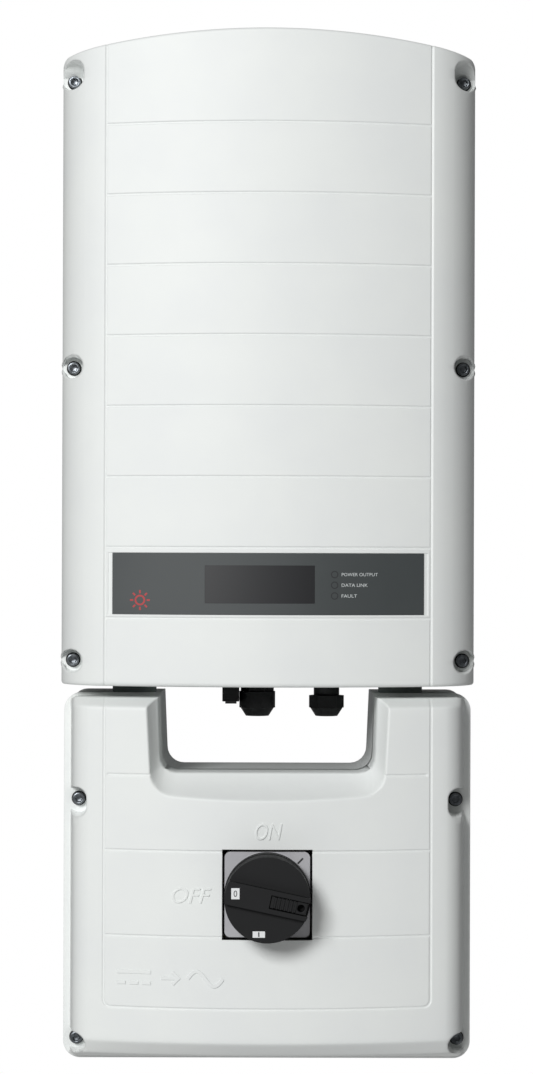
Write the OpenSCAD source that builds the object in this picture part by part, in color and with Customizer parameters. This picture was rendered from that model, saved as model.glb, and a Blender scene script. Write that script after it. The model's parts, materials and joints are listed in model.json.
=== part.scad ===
// Wall-hung string inverter with a safety-switch box under it.
// +X is to the right, the front faces -Y, +Z is up.
// Every solid is drawn with z = 0 at the foot of the switch box and then lowered,
// so that the origin is the centre of the wall bracket's four bolt holes, on the wall.

/* [Housings] */
// Height from the foot of the switch box to the top of the arch
set_h = 775; // [760:1:790]
// Width of the inverter housing
body_w = 315; // [305:1:325]
// Distance from the wall to the crown of both covers
crown_d = 184; // [180:1:190]
// Distance from the wall to the rim of both covers
rim_d = 118; // [114:1:120]
// Width of the switch box over its flange
box_w = 310; // [304:1:312]
// Height of the switch box
box_h = 278; // [274:1:280]
// Gap between the switch box and the inverter
gap_h = 7; // [5:1:9]
// Thickness of the moulded and cast walls
wall_t = 3; // [2.5:0.5:4]

/* [Front panels] */
// Distance from the middle to the upright grooves
panel_x = 122; // [118:1:124]
// Curve of the inverter's front panel, seen from above
front_r = 415; // [380:5:450]
// Curve of the switch box's front panel, seen from above
box_front_r = 490; // [460:5:520]
// Radius of the arched top, seen from the front
arch_r = 772; // [720:4:820]
// Spacing of the inverter's level grooves
groove_pitch = 52.7; // [52:0.1:53]
// Height of the lowest level groove of the inverter
groove_low = 336; // [334:0.5:337]
// Width of every groove
groove_w = 1.6; // [1.2:0.1:2]
// Depth of every groove
groove_t = 0.8; // [0.5:0.1:1]

/* [Service notch] */
// Half the width of the notch at its floor, where its front slope begins
notch_half = 80.5; // [79:0.5:84]
// Height of the notch's floor
notch_floor = 219.7; // [216:0.1:222]
// Length of the slope that leads into the notch
notch_slope = 24; // [20:1:26]

/* [Safety switch] */
// Height of the rotary knob's axis
switch_z = 131.5; // [130:0.5:133]
// Diameter of the rotary knob
knob_dia = 64; // [60:0.5:66]
// Distance from the wall to the knob's face
knob_face_d = 220; // [212:1:222]
// Side of the square opening in the cover
opening_w = 67; // [66:0.5:68]
// Side of the square switch plate
plate_w = 63.5; // [62:0.5:64]
// Diameter of the drive shaft
shaft_dia = 10; // [9:0.5:10]

/* [Wall fixing] */
// Height of the wall bracket's bolt pattern above the foot of the switch box
hang_z = 640; // [630:1:650]
// Distance across between the wall bracket's bolts
bolt_dx = 220; // [200:10:240]
// Distance up between the wall bracket's bolts
bolt_dz = 80; // [70:5:80]
// Diameter of the wall bolt holes
bolt_dia = 9; // [8:0.5:10]
// Distance across between the two bolts of the switch box's bracket
foot_bolt_dx = 160; // [140:10:160]

/* [Cable entries] */
// Diameter of the conduit holes in the foot of the switch box
conduit_dia = 28; // [26:0.5:30]
// Distance from the middle to the conduit holes
conduit_x = 70; // [66:1:74]
// Diameter of the cable hole in the gland seals
cable_dia = 8; // [6:0.5:9]

/* [Hidden] */
$fn = 48;

// Housing levels
unit_z0 = box_h + gap_h;         // underside of the inverter
arch_cz = set_h - arch_r;        // centre of the arched top
corner_r = 6;                    // top corners of the inverter
foot_corner_r = 3;               // bottom corners of the inverter
gasket_t = 1;                    // pressed thickness of both gaskets
tray_d = rim_d - gasket_t;       // front of both enclosures
tray_inset = 1;                  // the enclosures are a little smaller than the covers
flange_w = 18;                   // sealing flange inside both housings
flange_t = 4;                    // its thickness
seal_in = [14, 17.5];            // the gasket lies between these insets
inv_back_d = 52;                 // back of the inverter enclosure
box_back_d = 44;                 // back of the switch box
back_t = 4;                      // back walls

// Front of the inverter, seen from above: one wide arc between two tighter ones
panel_a = asin(panel_x / front_r);
side_r = (body_w / 2 - panel_x) / (1 - sin(panel_a));
side_cx = body_w / 2 - side_r;

// Front of the switch box, seen from above: wide arc, corner arc, drafted side
box_flange_t = 6;                                    // rim of the switch box cover
box_side_x = box_w / 2 - 4.6;                        // side of the front part at the rim
draft_a = 7;                                         // draft of its sides
box_corner_r = 22;                                   // its upright edges
box_top_r = 13;                                      // corners of the flange
draft_run = 24;                                      // depth of the drafted side
box_corner_x = box_side_x - draft_run * tan(draft_a);
box_corner_a = 15.5;                                 // where the wide arc ends

// Service notch
notch_r = 12;                    // its lower corners
notch_draft = 2;                 // how much wider each side is at the top
notch_back = notch_half - 4;     // half its width at the wall
mouth_dx = 8.5;                  // the slope's reach to the side at the crown
mouth_dz = 18.7;                 // and downwards
mouth_r = 17;
mouth_draft = 5;

// Lean of the switch box's front
lean_run = 14;                   // how far it goes back
foot_z = 9.2;                    // where its foot begins
foot_lean_z = 20.8;              // where the upright face begins

// Grooves of the switch box cover
box_levels = [46.4, 99.7, 163.2]; // level grooves right across
ear_level = 219.4;                // groove beside the notch

// Heat sink
sink_half = 145;                 // half its width
sink_zs = [300, 745];
sink_base_t = 6;
fin_n = 16;                      // fins on each side of the middle one
fin_pitch = 8.8;
fin_t = 2.2;

// Brackets
bracket_half = 140;              // half the wall bracket's width
hook_half = 118;                 // half the width of its hook
hook_gap = 6;                    // room behind the hook for the hanging rail
hook_h = 16;
lighten_r = 18;                  // lightening holes
foot_half = 100;                 // half the width of the lower bracket
foot_zs = [60, 140];
foot_arm_half = 60;
foot_tab = 20;                   // tabs that lie on the switch box's back
bumper_x = 88;
bumper_z = 330;
bumper_r = 12;

// Fasteners
head_r = 4.6;                    // M5 socket head
head_t = 5;
shank_r = 2.45;
tap_r = 2.5;
shank_end_d = 104;
washer_r = 5.6;
washer_t = 0.8;
scoop_r = 8.75;                  // hollow in the cover round each screw
scoop_d = rim_d + 6;             // floor of the hollow
inv_screws = [for (x = [-148.3, 148.3]) for (z = [303, 525, 743]) [x, z]];
box_screws = [for (s = [-1, 1]) for (p = [[144.7, 16], [143.5, 197.6]]) [s * p[0], p[1]]];

// Label, window and lamps
label_h = 46;
label_half = 119.5;
label_z = 338.8;
label_t = 0.7;
lcd_x = [-47.1, 34.6];
lcd_z = [347.4, 375.6];
lcd_rim = 2;                     // the window is glued to this much of the cover
lamp_x = 49.3;
lamp_z = [353.1, 361.1, 369];
board_post_x = [-80, 76];
board_post_z = [340, 384];

// Underside fittings
fit_d = 88;                      // distance from the wall to the glands and conduits
left_gland_x = -7.8;
right_gland_x = 45.9;
neck_r = 9.9;
toggle_x = -28.3;
toggle_z0 = 270;                 // mouth of the rocker switch
rocker_z = 274.2;                // its pivot
rocker_pin_r = 1.2;
rocker_tilt = 10;                // half of the rocker's travel
button_x = -60;
spring_turns = 4;
spring_r = 2.9;
spring_wire_r = 0.35;
spring_h = 8;
nipple_x = 103;
seal_z0 = 262;                   // foot of the gland seals
seal_h = 14;
dome_foot_z = 258.6;             // foot of the dome nuts
dome_mid_z = 265;                // where their cone begins
nipple_r = 12;
lock_nut_r = 15.4;
lead_offsets = [for (dx = [-4, 4]) for (dy = [-4, 4]) [dx, dy]];
lead_r = 2;
lead_z = [158, 322];

// Safety switch
plate_d = crown_d - wall_t;      // front face of the plate
shaft_r = shaft_dia / 2;
run_fit = 0.05;                  // radial clearance of a running fit
knob_r = knob_dia / 2;
knob_back_d = plate_d + 1.6;
grip_a = -12;                    // slope of the grip in the OFF position
grip_w = 17;
grip_h = 5.5;                    // how far the grip stands out of the knob's face
tab_w = 9.4;
tab_gap = 0.35;
deck_n = 4;
deck_t = 14;
deck_d = 94;                     // back of the rearmost contact deck

// Fan
fan_x = 70;
fan_z = 700;
fan_half = 30;                   // half the side of its frame
fan_d = 84;
fan_t = 15;
fan_bore_r = 28.5;
fan_pin_r = 2;

// Wall fixing
plate_t = 2.5;                   // steel of the brackets
lip_z = 716;                     // height of the hooking edge
fin_d = 14;                      // back of the cooling fins

cover_col = [0.88, 0.89, 0.885];
cast_col = [0.80, 0.81, 0.81];
black_col = [0.08, 0.085, 0.095];
steel_col = [0.62, 0.63, 0.64];
zinc_col = [0.72, 0.73, 0.74];
board_col = [0.10, 0.38, 0.22];
brass_col = [0.78, 0.64, 0.30];

// ---------- helpers ----------

function arc_pts(c, r, a0, a1, n) =
    [for (i = [0:n]) let (a = a0 + (a1 - a0) * i / n) c + r * [cos(a), sin(a)]];

// Lowers a solid from foot height to bracket height
module hung() translate([0, 0, -hang_z]) children();

// Extrudes an outline drawn in x and z, from wall distance d0 out to d1
module slab(d0, d1)
    translate([0, -d0, 0]) rotate([90, 0, 0]) linear_extrude(d1 - d0) children();

// Extrudes a plan drawn in x and y, from height z0 up to z1
module column(z0, z1) translate([0, 0, z0]) linear_extrude(z1 - z0) children();

// A round bar along Y
module bar_y(x, z, r, d0, d1)
    translate([x, -d0, z]) rotate([90, 0, 0]) cylinder(r = r, h = d1 - d0);

// A box given by its ranges in x, wall distance and z
module block(xs, ds, zs)
    translate([xs[0], -ds[1], zs[0]]) cube([xs[1] - xs[0], ds[1] - ds[0], zs[1] - zs[0]]);

// ---------- outlines ----------

// Inverter seen from the front, pulled in by i
module inverter_outline(i = 0) {
    r = corner_r > i ? corner_r - i : 1;
    rb = foot_corner_r > i ? foot_corner_r - i : 1;
    x1 = body_w / 2 - i;
    ra = arch_r - i;
    cz = arch_cz + sqrt(pow(ra - r, 2) - pow(x1 - r, 2));
    a1 = atan2(cz - arch_cz, x1 - r);
    polygon(concat(
        arc_pts([x1 - rb, unit_z0 + i + rb], rb, -90, 0, 4),
        arc_pts([x1 - r, cz], r, 0, a1, 6),
        arc_pts([0, arch_cz], ra, a1 + 0.4, 179.6 - a1, 20),
        arc_pts([r - x1, cz], r, 180 - a1, 180, 6),
        arc_pts([rb - x1, unit_z0 + i + rb], rb, 180, 270, 4)));
}

// Inverter cover seen from above, pulled in by i
module inverter_plan(i = 0)
    polygon(concat(
        arc_pts([side_cx, -rim_d], side_r - i, 0, panel_a - 90, 8),
        arc_pts([0, front_r - crown_d], front_r - i, panel_a - 90.8, -89.2 - panel_a, 20),
        arc_pts([-side_cx, -rim_d], side_r - i, -90 - panel_a, -180, 8)));

// Band of the inverter's front panel, from depth t0 down to t1 below its surface
module panel_band(r, t0, t1)
    polygon(concat(
        arc_pts([0, r - crown_d], r - t0, panel_a - 90.8, -89.2 - panel_a, 20),
        arc_pts([0, r - crown_d], r - t1, -89.2 - panel_a, panel_a - 90.8, 20)));

// Notch seen from the front: u-shaped, open at the top, a little wider there
module notch_outline(half, floor_z, r, draft = notch_draft)
    polygon(concat(
        [[half + draft, box_h + 1], [-half - draft, box_h + 1]],
        arc_pts([r - half, floor_z + r], r, 180, 270, 6),
        arc_pts([half - r, floor_z + r], r, 270, 360, 6)));

// Switch box seen from the front without its notch, pulled in by i
module box_outline(i = 0) {
    r = box_top_r - i > 1 ? box_top_r - i : 1;
    x1 = box_w / 2 - i;
    polygon(concat(
        arc_pts([x1 - r, i + r], r, -90, 0, 6),
        arc_pts([x1 - r, box_h - i - r], r, 0, 90, 6),
        arc_pts([r - x1, box_h - i - r], r, 90, 180, 6),
        arc_pts([r - x1, i + r], r, 180, 270, 6)));
}

// Front part of the switch box cover seen from above, pulled in by i
module box_plan(i = 0) {
    a = box_corner_a;
    cx = box_corner_x - box_corner_r * cos(draft_a);
    cy = -(rim_d + box_flange_t + draft_run) + box_corner_r * sin(draft_a);
    polygon(concat(
        [[box_side_x - i, -rim_d], [box_side_x - i, -rim_d - box_flange_t]],
        arc_pts([cx, cy], box_corner_r - i, -draft_a, a - 90, 8),
        arc_pts([0, box_front_r - crown_d], box_front_r - i, a - 92, -88 - a, 20),
        arc_pts([-cx, cy], box_corner_r - i, -90 - a, draft_a - 180, 8),
        [[i - box_side_x, -rim_d - box_flange_t], [i - box_side_x, -rim_d]]));
}

// The notch's void grown by g: channel behind, which widens to the front, and slope
module notch_void(g = 0) {
    hull() {
        slab(-1, 0)
            notch_outline(notch_back + g, notch_floor - g, notch_r + g);
        slab(crown_d - notch_slope, crown_d - notch_slope + 0.01)
            notch_outline(notch_half + g, notch_floor - g, notch_r + g);
    }
    hull() {
        slab(crown_d - notch_slope, crown_d - notch_slope + 0.01)
            notch_outline(notch_half + g, notch_floor - g, notch_r + g);
        slab(crown_d, crown_d + 0.01)
            notch_outline(notch_half + mouth_dx + g, notch_floor - mouth_dz - g, mouth_r + g,
                          mouth_draft);
    }
}

// A flat ring that follows an outline between two insets
module rim_ring(d0, d1, i0, i1, box = false)
    slab(d0, d1) difference() {
        if (box) box_ring_outline(i0); else inverter_outline(i0);
        if (box) box_ring_outline(i1); else inverter_outline(i1);
    }

module box_ring_outline(i)
    difference() {
        box_outline(i);
        notch_outline(notch_half + i, notch_floor - i, notch_r + i);
    }

// ---------- fasteners ----------

module socket_screws(places)
    for (p = places) difference() {
        union() {
            bar_y(p[0], p[1], head_r, scoop_d + washer_t, scoop_d + washer_t + head_t);
            bar_y(p[0], p[1], shank_r, shank_end_d, scoop_d + washer_t + 0.5);
        }
        translate([p[0], -(scoop_d + washer_t + 2.2), p[1]]) rotate([90, 0, 0])
            cylinder(r = 2.4, h = head_t, $fn = 6);
    }

module screw_washers(places)
    for (p = places) difference() {
        bar_y(p[0], p[1], washer_r, scoop_d, scoop_d + washer_t);
        bar_y(p[0], p[1], 2.75, scoop_d - 1, scoop_d + washer_t + 1);
    }

// Hexagonal nut on a vertical thread
module hex_nut_z(x, d, z0, z1, r, hole_r)
    translate([x, -d, z0]) difference() {
        cylinder(r = r, h = z1 - z0, $fn = 6);
        translate([0, 0, -1]) cylinder(r = hole_r, h = z1 - z0 + 2);
    }

// ---------- inverter housing ----------

module inverter_cover() color(cover_col) hung() difference() {
    union() {
        difference() {
            intersection() {
                column(unit_z0, set_h + 1) inverter_plan();
                slab(rim_d, crown_d + 1) inverter_outline();
            }
            intersection() {
                column(unit_z0, set_h + 1) translate([0, 0.1]) inverter_plan(wall_t);
                slab(rim_d - 1, crown_d + 1) inverter_outline(wall_t);
            }
        }
        rim_ring(rim_d, rim_d + flange_t, 0.5, flange_w);
        intersection() {
            column(unit_z0, set_h + 1) inverter_plan();
            for (p = inv_screws) bar_y(p[0], p[1], scoop_r + wall_t, rim_d, crown_d);
            slab(rim_d, crown_d + 1) inverter_outline();
        }
    }
    for (p = inv_screws) {
        bar_y(p[0], p[1], scoop_r, scoop_d, crown_d);
        bar_y(p[0], p[1], 2.75, rim_d - 1, scoop_d + 1);
    }
    // level grooves between the upright ones
    for (k = [0:7])
        column(groove_low + k * groove_pitch - groove_w / 2,
               groove_low + k * groove_pitch + groove_w / 2)
            intersection() {
                panel_band(front_r, -1, groove_t);
                square([2 * panel_x, 2 * crown_d], center = true);
            }
    // upright grooves
    for (s = [-1, 1]) translate([s * panel_x, front_r * (1 - cos(panel_a)) - crown_d, 0])
        rotate(s * panel_a) translate([-groove_w / 2, -2, unit_z0 - 1])
            cube([groove_w, 2 + groove_t, set_h]);
    // pocket for the label, window through it
    column(label_z, label_z + label_h) intersection() {
        panel_band(front_r, -1, groove_t);
        square([2 * label_half, 2 * crown_d], center = true);
    }
    block([lcd_x[0] + lcd_rim, lcd_x[1] - lcd_rim], [crown_d - 8, crown_d + 1],
          [lcd_z[0] + lcd_rim, lcd_z[1] - lcd_rim]);
    for (z = lamp_z) bar_y(lamp_x, z, 2.2, crown_d - 12, crown_d + 1);
}

module inverter_cover_gasket() color("dimgray") hung()
    rim_ring(tray_d, rim_d, seal_in[0], seal_in[1]);

module inverter_enclosure() color(cast_col) hung() difference() {
    union() {
        difference() {
            slab(inv_back_d, tray_d) inverter_outline(tray_inset);
            slab(inv_back_d + back_t, tray_d + 1) inverter_outline(tray_inset + wall_t);
        }
        rim_ring(tray_d - flange_t, tray_d, tray_inset + 0.5, flange_w + 1);
        for (p = inv_screws) intersection() {
            bar_y(p[0], p[1], 6, tray_d - 17, tray_d);
            slab(inv_back_d, tray_d) inverter_outline(tray_inset);
        }
    }
    for (p = inv_screws) bar_y(p[0], p[1], tap_r, tray_d - 15, tray_d + 1);
    // cable entries in the underside
    for (x = [left_gland_x, right_gland_x])
        translate([x, -fit_d, unit_z0 - 1]) cylinder(r = neck_r + 0.2, h = 10);
    for (x = [-nipple_x, nipple_x])
        translate([x, -fit_d, unit_z0 - 1]) cylinder(r = nipple_r + 0.2, h = 10);
    block([toggle_x - 5.2, toggle_x + 5.2], [fit_d - 10.2, fit_d + 10.2],
          [unit_z0 - 1, unit_z0 + 10]);
    translate([button_x, -fit_d, unit_z0 - 1]) cylinder(r = 6.2, h = 10);
}

module heat_sink() color(cast_col) hung() {
    base_d = inv_back_d - sink_base_t;
    block([-sink_half, sink_half], [base_d, inv_back_d], sink_zs);
    for (k = [-fin_n:fin_n])
        block([k * fin_pitch - fin_t / 2, k * fin_pitch + fin_t / 2], [fin_d, base_d + 0.5], sink_zs);
}

module inverter_cover_screws() color(steel_col) hung() socket_screws(inv_screws);
module inverter_screw_washers() color("dimgray") hung() screw_washers(inv_screws);

// ---------- display ----------

module label_overlay() color([0.30, 0.31, 0.31]) hung() difference() {
    column(label_z + 0.1, label_z + label_h - 0.1) intersection() {
        panel_band(front_r, groove_t - label_t, groove_t);
        square([2 * label_half - 0.2, 2 * crown_d], center = true);
    }
    block(lcd_x, [crown_d - 8, crown_d + 1], lcd_z);
    for (z = lamp_z) bar_y(lamp_x, z, 2, crown_d - 12, crown_d + 1);
}

module lcd_window() color(black_col) hung()
    column(lcd_z[0] + 0.1, lcd_z[1] - 0.1) intersection() {
        panel_band(front_r, groove_t - label_t, groove_t);
        translate([lcd_x[0] + 0.1, -2 * crown_d])
            square([lcd_x[1] - lcd_x[0] - 0.2, 2 * crown_d]);
    }

module lcd_module() color([0.25, 0.27, 0.22]) hung() {
    block([lcd_x[0] + 1, lcd_x[1] - 1], [crown_d - 14, crown_d - 6],
          [lcd_z[0] + 1, lcd_z[1] - 1]);
    block([lcd_x[0] - 5, lcd_x[1] + 5], [crown_d - 17.6, crown_d - 13.9],
          [lcd_z[0] - 4, lcd_z[1] + 4]);
}

module status_leds() color([0.35, 0.45, 0.35]) hung() for (z = lamp_z) {
    bar_y(lamp_x, z, 1.5, 150.2, crown_d - 5);
    translate([lamp_x, -crown_d + 5, z]) sphere(r = 1.5);
}

module control_board() color(board_col) hung() block([-90, 80], [148.4, 150], [336, 388]);

module control_board_posts() color(zinc_col) hung() {
    for (x = board_post_x) for (z = board_post_z) bar_y(x, z, 2.5, 100, 148.4);
    for (x = [-40, 27]) for (z = [345, 378]) bar_y(x, z, 1.5, 150, 166.3);
}

module ribbon_cable() color([0.65, 0.65, 0.68]) hung() difference() {
    block([-15, 5], [98, 148.2], [389, 396]);
    block([-16, 6], [99, 147.2], [388, 395]);
}

// ---------- power stage ----------

module power_board() color(board_col) hung() block([-115, 115], [96.4, 98], [400, 660]);

module power_board_posts() color(zinc_col) hung() {
    for (x = [-110, 0, 110]) for (z = [406, 530, 654])
        bar_y(x, z, 3, inv_back_d + back_t, 96.4);
    for (x = board_post_x) for (z = board_post_z)
        bar_y(x, z, 3, inv_back_d + back_t, 99.9);
}

module dc_link_capacitors() color([0.20, 0.25, 0.42]) hung()
    for (k = [-2:2]) for (z = [590, 630]) bar_y(k * 36, z, 15, 98, 138);

module power_inductors() color([0.55, 0.35, 0.16]) hung()
    for (x = [-55, 55]) translate([x, -109.1, 450]) rotate([90, 0, 0])
        rotate_extrude() translate([24, 0]) circle(r = 11);

module power_transistors() color(black_col) hung()
    for (k = [-3:2]) block([k * 32 + 8, k * 32 + 24], [56, 61], [560, 580]);

module grid_relays() color([0.75, 0.76, 0.78]) hung()
    for (k = [0:3]) block([k * 30 - 55, k * 30 - 35], [98, 118], [510, 540]);

module terminal_row(x0, n, w, ds, zs)
    for (k = [0:n - 1]) difference() {
        block([x0 + k * w + 0.2, x0 + (k + 1) * w - 0.2], ds, zs);
        bar_y(x0 + (k + 0.5) * w, zs[1] - 9, 2.6, ds[1] - 6, ds[1] + 1);
        bar_y(x0 + (k + 0.5) * w, zs[0] + 9, 2.6, ds[1] - 6, ds[1] + 1);
    }

module dc_input_terminals() color([0.20, 0.45, 0.35]) hung()
    terminal_row(-119, 4, 8, [56, 104], [lead_z[1], lead_z[1] + 34]);

module ac_output_terminals() color([0.35, 0.36, 0.38]) hung()
    terminal_row(87, 4, 8, [56, 104], [lead_z[1], lead_z[1] + 34]);

// ---------- stirring fan ----------

module fan_frame() color(black_col) hung() {
    difference() {
        block([fan_x - fan_half, fan_x + fan_half], [fan_d, fan_d + fan_t],
              [fan_z - fan_half, fan_z + fan_half]);
        bar_y(fan_x, fan_z, fan_bore_r, fan_d - 1, fan_d + fan_t + 1);
    }
    for (a = [0, 120, 240]) translate([fan_x, -fan_d - 1, fan_z]) rotate([0, a, 0])
        translate([6, -1, -2]) cube([23.5, 2, 4]);
    bar_y(fan_x, fan_z, 8, fan_d, fan_d + 2);
    bar_y(fan_x, fan_z, fan_pin_r, fan_d + 1, fan_d + 12);
    for (dx = [-1, 1]) for (dz = [-1, 1])
        bar_y(fan_x + dx * (fan_half - 4), fan_z + dz * (fan_half - 4), 2.5, inv_back_d + back_t, fan_d + 1);
}

module fan_rotor() color([0.15, 0.16, 0.18]) hung() {
    difference() {
        bar_y(fan_x, fan_z, 11, fan_d + 3, fan_d + fan_t - 1);
        bar_y(fan_x, fan_z, fan_pin_r + run_fit, fan_d + 2, fan_d + 12.4);
    }
    for (k = [0:6]) translate([fan_x, -fan_d - 8.5, fan_z]) rotate([0, k * 360 / 7, 0])
        translate([10.5, 0, 0]) rotate([32, 0, 0]) translate([0, -0.7, -5])
            cube([16, 1.4, 10]);
}

// ---------- underside fittings ----------

module gland_body(x, hex_r, hex_h) translate([x, -fit_d, 0]) difference() {
    union() {
        translate([0, 0, hex_h > 5 ? 278 : 274.8]) cylinder(r = neck_r, h = 22 - hex_h / 2);
        translate([0, 0, seal_z0]) cylinder(r = neck_r - 1.4, h = 16.5);
        translate([0, 0, unit_z0 - hex_h]) cylinder(r = hex_r, h = hex_h + tray_inset, $fn = 6);
    }
    translate([0, 0, seal_z0 - 1]) cylinder(r = 7.4, h = 40);
}

module left_gland_body() color(black_col) hung() gland_body(left_gland_x, 13, 7.2);
module right_gland_body() color(black_col) hung() gland_body(right_gland_x, 12.4, 3.2);

// Dome nuts that squeeze the seals
module dome_nut(x, top_z, r) translate([x, -fit_d, 0]) difference() {
    union() {
        translate([0, 0, dome_mid_z])
            cylinder(r = r, h = top_z - dome_mid_z, $fn = r > 13.8 ? 96 : 6);
        translate([0, 0, dome_foot_z]) cylinder(r1 = r - 5, r2 = r - 0.8, h = 6.5);
    }
    translate([0, 0, seal_z0 - 0.5]) cylinder(r = neck_r - 1.3, h = top_z - seal_z0 + 1.5);
    translate([0, 0, dome_foot_z - 8]) cylinder(r = 6, h = 20);
}

module gland_dome_nuts() color(black_col) hung() {
    dome_nut(left_gland_x, 277.6, 13.9);
    dome_nut(right_gland_x, 274.6, 13.5);
}

module gland_lock_nuts() color(black_col) hung()
    for (x = [left_gland_x, right_gland_x])
        hex_nut_z(x, fit_d, unit_z0 + 4.2, unit_z0 + 9, 13.5, neck_r + 0.05);

module gland_seals() color("dimgray") hung()
    for (x = [left_gland_x, right_gland_x]) translate([x, -fit_d, seal_z0]) difference() {
        cylinder(r = 7.3, h = seal_h);
        translate([0, 0, -1]) cylinder(r = cable_dia / 2, h = seal_h + 2);
    }

module on_off_switch_body() color(black_col) hung() difference() {
    union() {
        block([toggle_x - 6.5, toggle_x + 6.5], [fit_d - 12, fit_d + 12],
              [toggle_z0, unit_z0 + tray_inset]);
        block([toggle_x - 5, toggle_x + 5], [fit_d - 10, fit_d + 10],
              [unit_z0 + 0.5, unit_z0 + 22]);
    }
    block([toggle_x - 4.9, toggle_x + 4.9], [fit_d - 9.2, fit_d + 9.2],
          [toggle_z0 - 1, toggle_z0 + 10]);
    rocker_pin(rocker_pin_r + run_fit, 14);
}

// Pivot pin of the rocker, along X
module rocker_pin(r, len)
    translate([toggle_x, -fit_d, rocker_z]) rotate([0, 90, 0])
        cylinder(r = r, h = len, center = true);

// Rocker with two faces that meet in a shallow valley, tipped to one side
module on_off_rocker() color([0.13, 0.13, 0.15]) hung() {
    translate([toggle_x - 4.4, -fit_d, rocker_z]) rotate([90, 0, 90]) rotate(-rocker_tilt)
        linear_extrude(8.8)
            polygon([[-8, -5.6], [0, -4.2], [8, -5.6], [6.5, 3.5], [-6.5, 3.5]]);
    rocker_pin(rocker_pin_r, 11.8);
}

module light_button_housing() color(black_col) hung()
    translate([button_x, -fit_d, unit_z0 - 1.4]) difference() {
        union() {
            cylinder(r = 7.5, h = 2.4);
            translate([0, 0, 1]) cylinder(r = 6, h = 15);
        }
        translate([0, 0, -1]) cylinder(r = 4.3, h = 15.4);
    }

module light_button() color([0.2, 0.2, 0.22]) hung()
    translate([button_x, -fit_d, unit_z0 - 3]) {
        cylinder(r = 4, h = 7);
        translate([0, 0, 6.5]) cylinder(r = 1.6, h = 3);
    }

// One coil spring, swept along its helix
module light_button_spring() color(steel_col) hung()
    translate([button_x, -fit_d, unit_z0 + 4.5]) {
        rings = spring_turns * 12;
        pts = [for (k = [0:rings]) for (m = [0:5])
            let (a = k * 30, u = 60 * m, q = spring_r + spring_wire_r * cos(u))
            [q * cos(a), q * sin(a), spring_h * k / rings + spring_wire_r * sin(u)]];
        polyhedron(pts, concat(
            [[for (m = [0:5]) m]],
            [for (k = [0:rings - 1]) for (m = [0:5])
                [6 * k + m, 6 * k + 6 + m, 6 * k + 6 + (m + 1) % 6, 6 * k + (m + 1) % 6]],
            [[for (m = [5:-1:0]) 6 * rings + m]]));
    }

// ---------- links between the housings ----------

module conduit_nipples() color(zinc_col) hung() for (x = [-nipple_x, nipple_x])
    translate([x, -fit_d, box_h - 16]) difference() {
        cylinder(r = nipple_r, h = 32 + gap_h);
        translate([0, 0, -1]) cylinder(r = nipple_r - 2, h = 34 + gap_h);
    }

module conduit_lock_nuts() color(zinc_col) hung() for (x = [-nipple_x, nipple_x]) {
    hex_nut_z(x, fit_d, box_h - 9, box_h - 4.2, lock_nut_r, nipple_r + 0.05);
    hex_nut_z(x, fit_d, unit_z0 + 4.2, unit_z0 + 9, lock_nut_r, nipple_r + 0.05);
}

module conduit_washers() color("dimgray") hung() for (x = [-nipple_x, nipple_x])
    translate([x, -fit_d, box_h - 1]) difference() {
        cylinder(r = 17, h = gap_h + 2);
        translate([0, 0, -1]) cylinder(r = nipple_r + 0.05, h = gap_h + 4);
    }

module lead_bundle(x)
    for (o = lead_offsets) translate([x + o[0], -fit_d + o[1], lead_z[0]])
        cylinder(r = lead_r, h = lead_z[1] - lead_z[0]);

module dc_leads() color([0.65, 0.12, 0.10]) hung() lead_bundle(-nipple_x);
module ac_leads() color([0.25, 0.25, 0.28]) hung() lead_bundle(nipple_x);

// ---------- switch box housing ----------

module box_solid(i = 0) {
    intersection() {
        column(0, box_h) box_plan(i);
        slab(rim_d, crown_d + 1) box_outline(i + 2);
        // the front leans back on the two ears and at the foot, whose underside rises to it
        translate([-box_w / 2, 0, 0]) rotate([90, 0, 90]) linear_extrude(box_w) polygon([
            [-rim_d + 1, 0], [-rim_d + 1, box_h], [-crown_d + lean_run + i, box_h - i / 2],
            [-crown_d - 1, box_h - 8 - i], [-crown_d - 1, foot_lean_z + i],
            [-crown_d + lean_run + i, foot_z + i],
            [-rim_d - box_flange_t, box_flange_t / 3 + i], [-rim_d - box_flange_t, 0]]);
    }
}

module switch_box_cover() color(cover_col) hung() difference() {
    union() {
        difference() {
            box_solid();
            difference() {
                translate([0, 0.1, 0]) box_solid(wall_t);
                notch_void(wall_t);
            }
        }
        // rim, and the sealing flange inside it
        slab(rim_d, rim_d + box_flange_t) difference() {
            box_outline();
            box_ring_outline(flange_w);
        }
        for (p = box_screws) intersection() {
            bar_y(p[0], p[1], scoop_r + wall_t, rim_d, crown_d);
            box_solid();
        }
    }
    notch_void();
    for (p = box_screws) {
        bar_y(p[0], p[1], scoop_r, scoop_d, crown_d + 1);
        bar_y(p[0], p[1], 2.75, rim_d - 1, scoop_d + 1);
    }
    // square opening for the switch
    block([-opening_w / 2, opening_w / 2], [crown_d - 12, crown_d + 1],
          [switch_z - opening_w / 2, switch_z + opening_w / 2]);
    // level grooves
    for (z = box_levels) column(z - groove_w / 2, z + groove_w / 2)
        intersection() {
            panel_band(box_front_r, -1, groove_t);
            square([2 * panel_x, 2 * crown_d], center = true);
        }
    column(ear_level - groove_w / 2, ear_level + groove_w / 2) difference() {
        intersection() {
            panel_band(box_front_r, -1, groove_t);
            square([2 * panel_x, 2 * crown_d], center = true);
        }
        square([2 * (notch_half + mouth_dx + 0.5), 3 * crown_d], center = true);
    }
    // upright grooves
    box_panel_a = asin(panel_x / box_front_r);
    for (s = [-1, 1])
        translate([s * panel_x, box_front_r * (1 - cos(box_panel_a)) - crown_d, 0])
            rotate(s * box_panel_a) translate([-groove_w / 2, -2, box_levels[0]])
                cube([groove_w, 2 + groove_t, box_h]);
}

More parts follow.
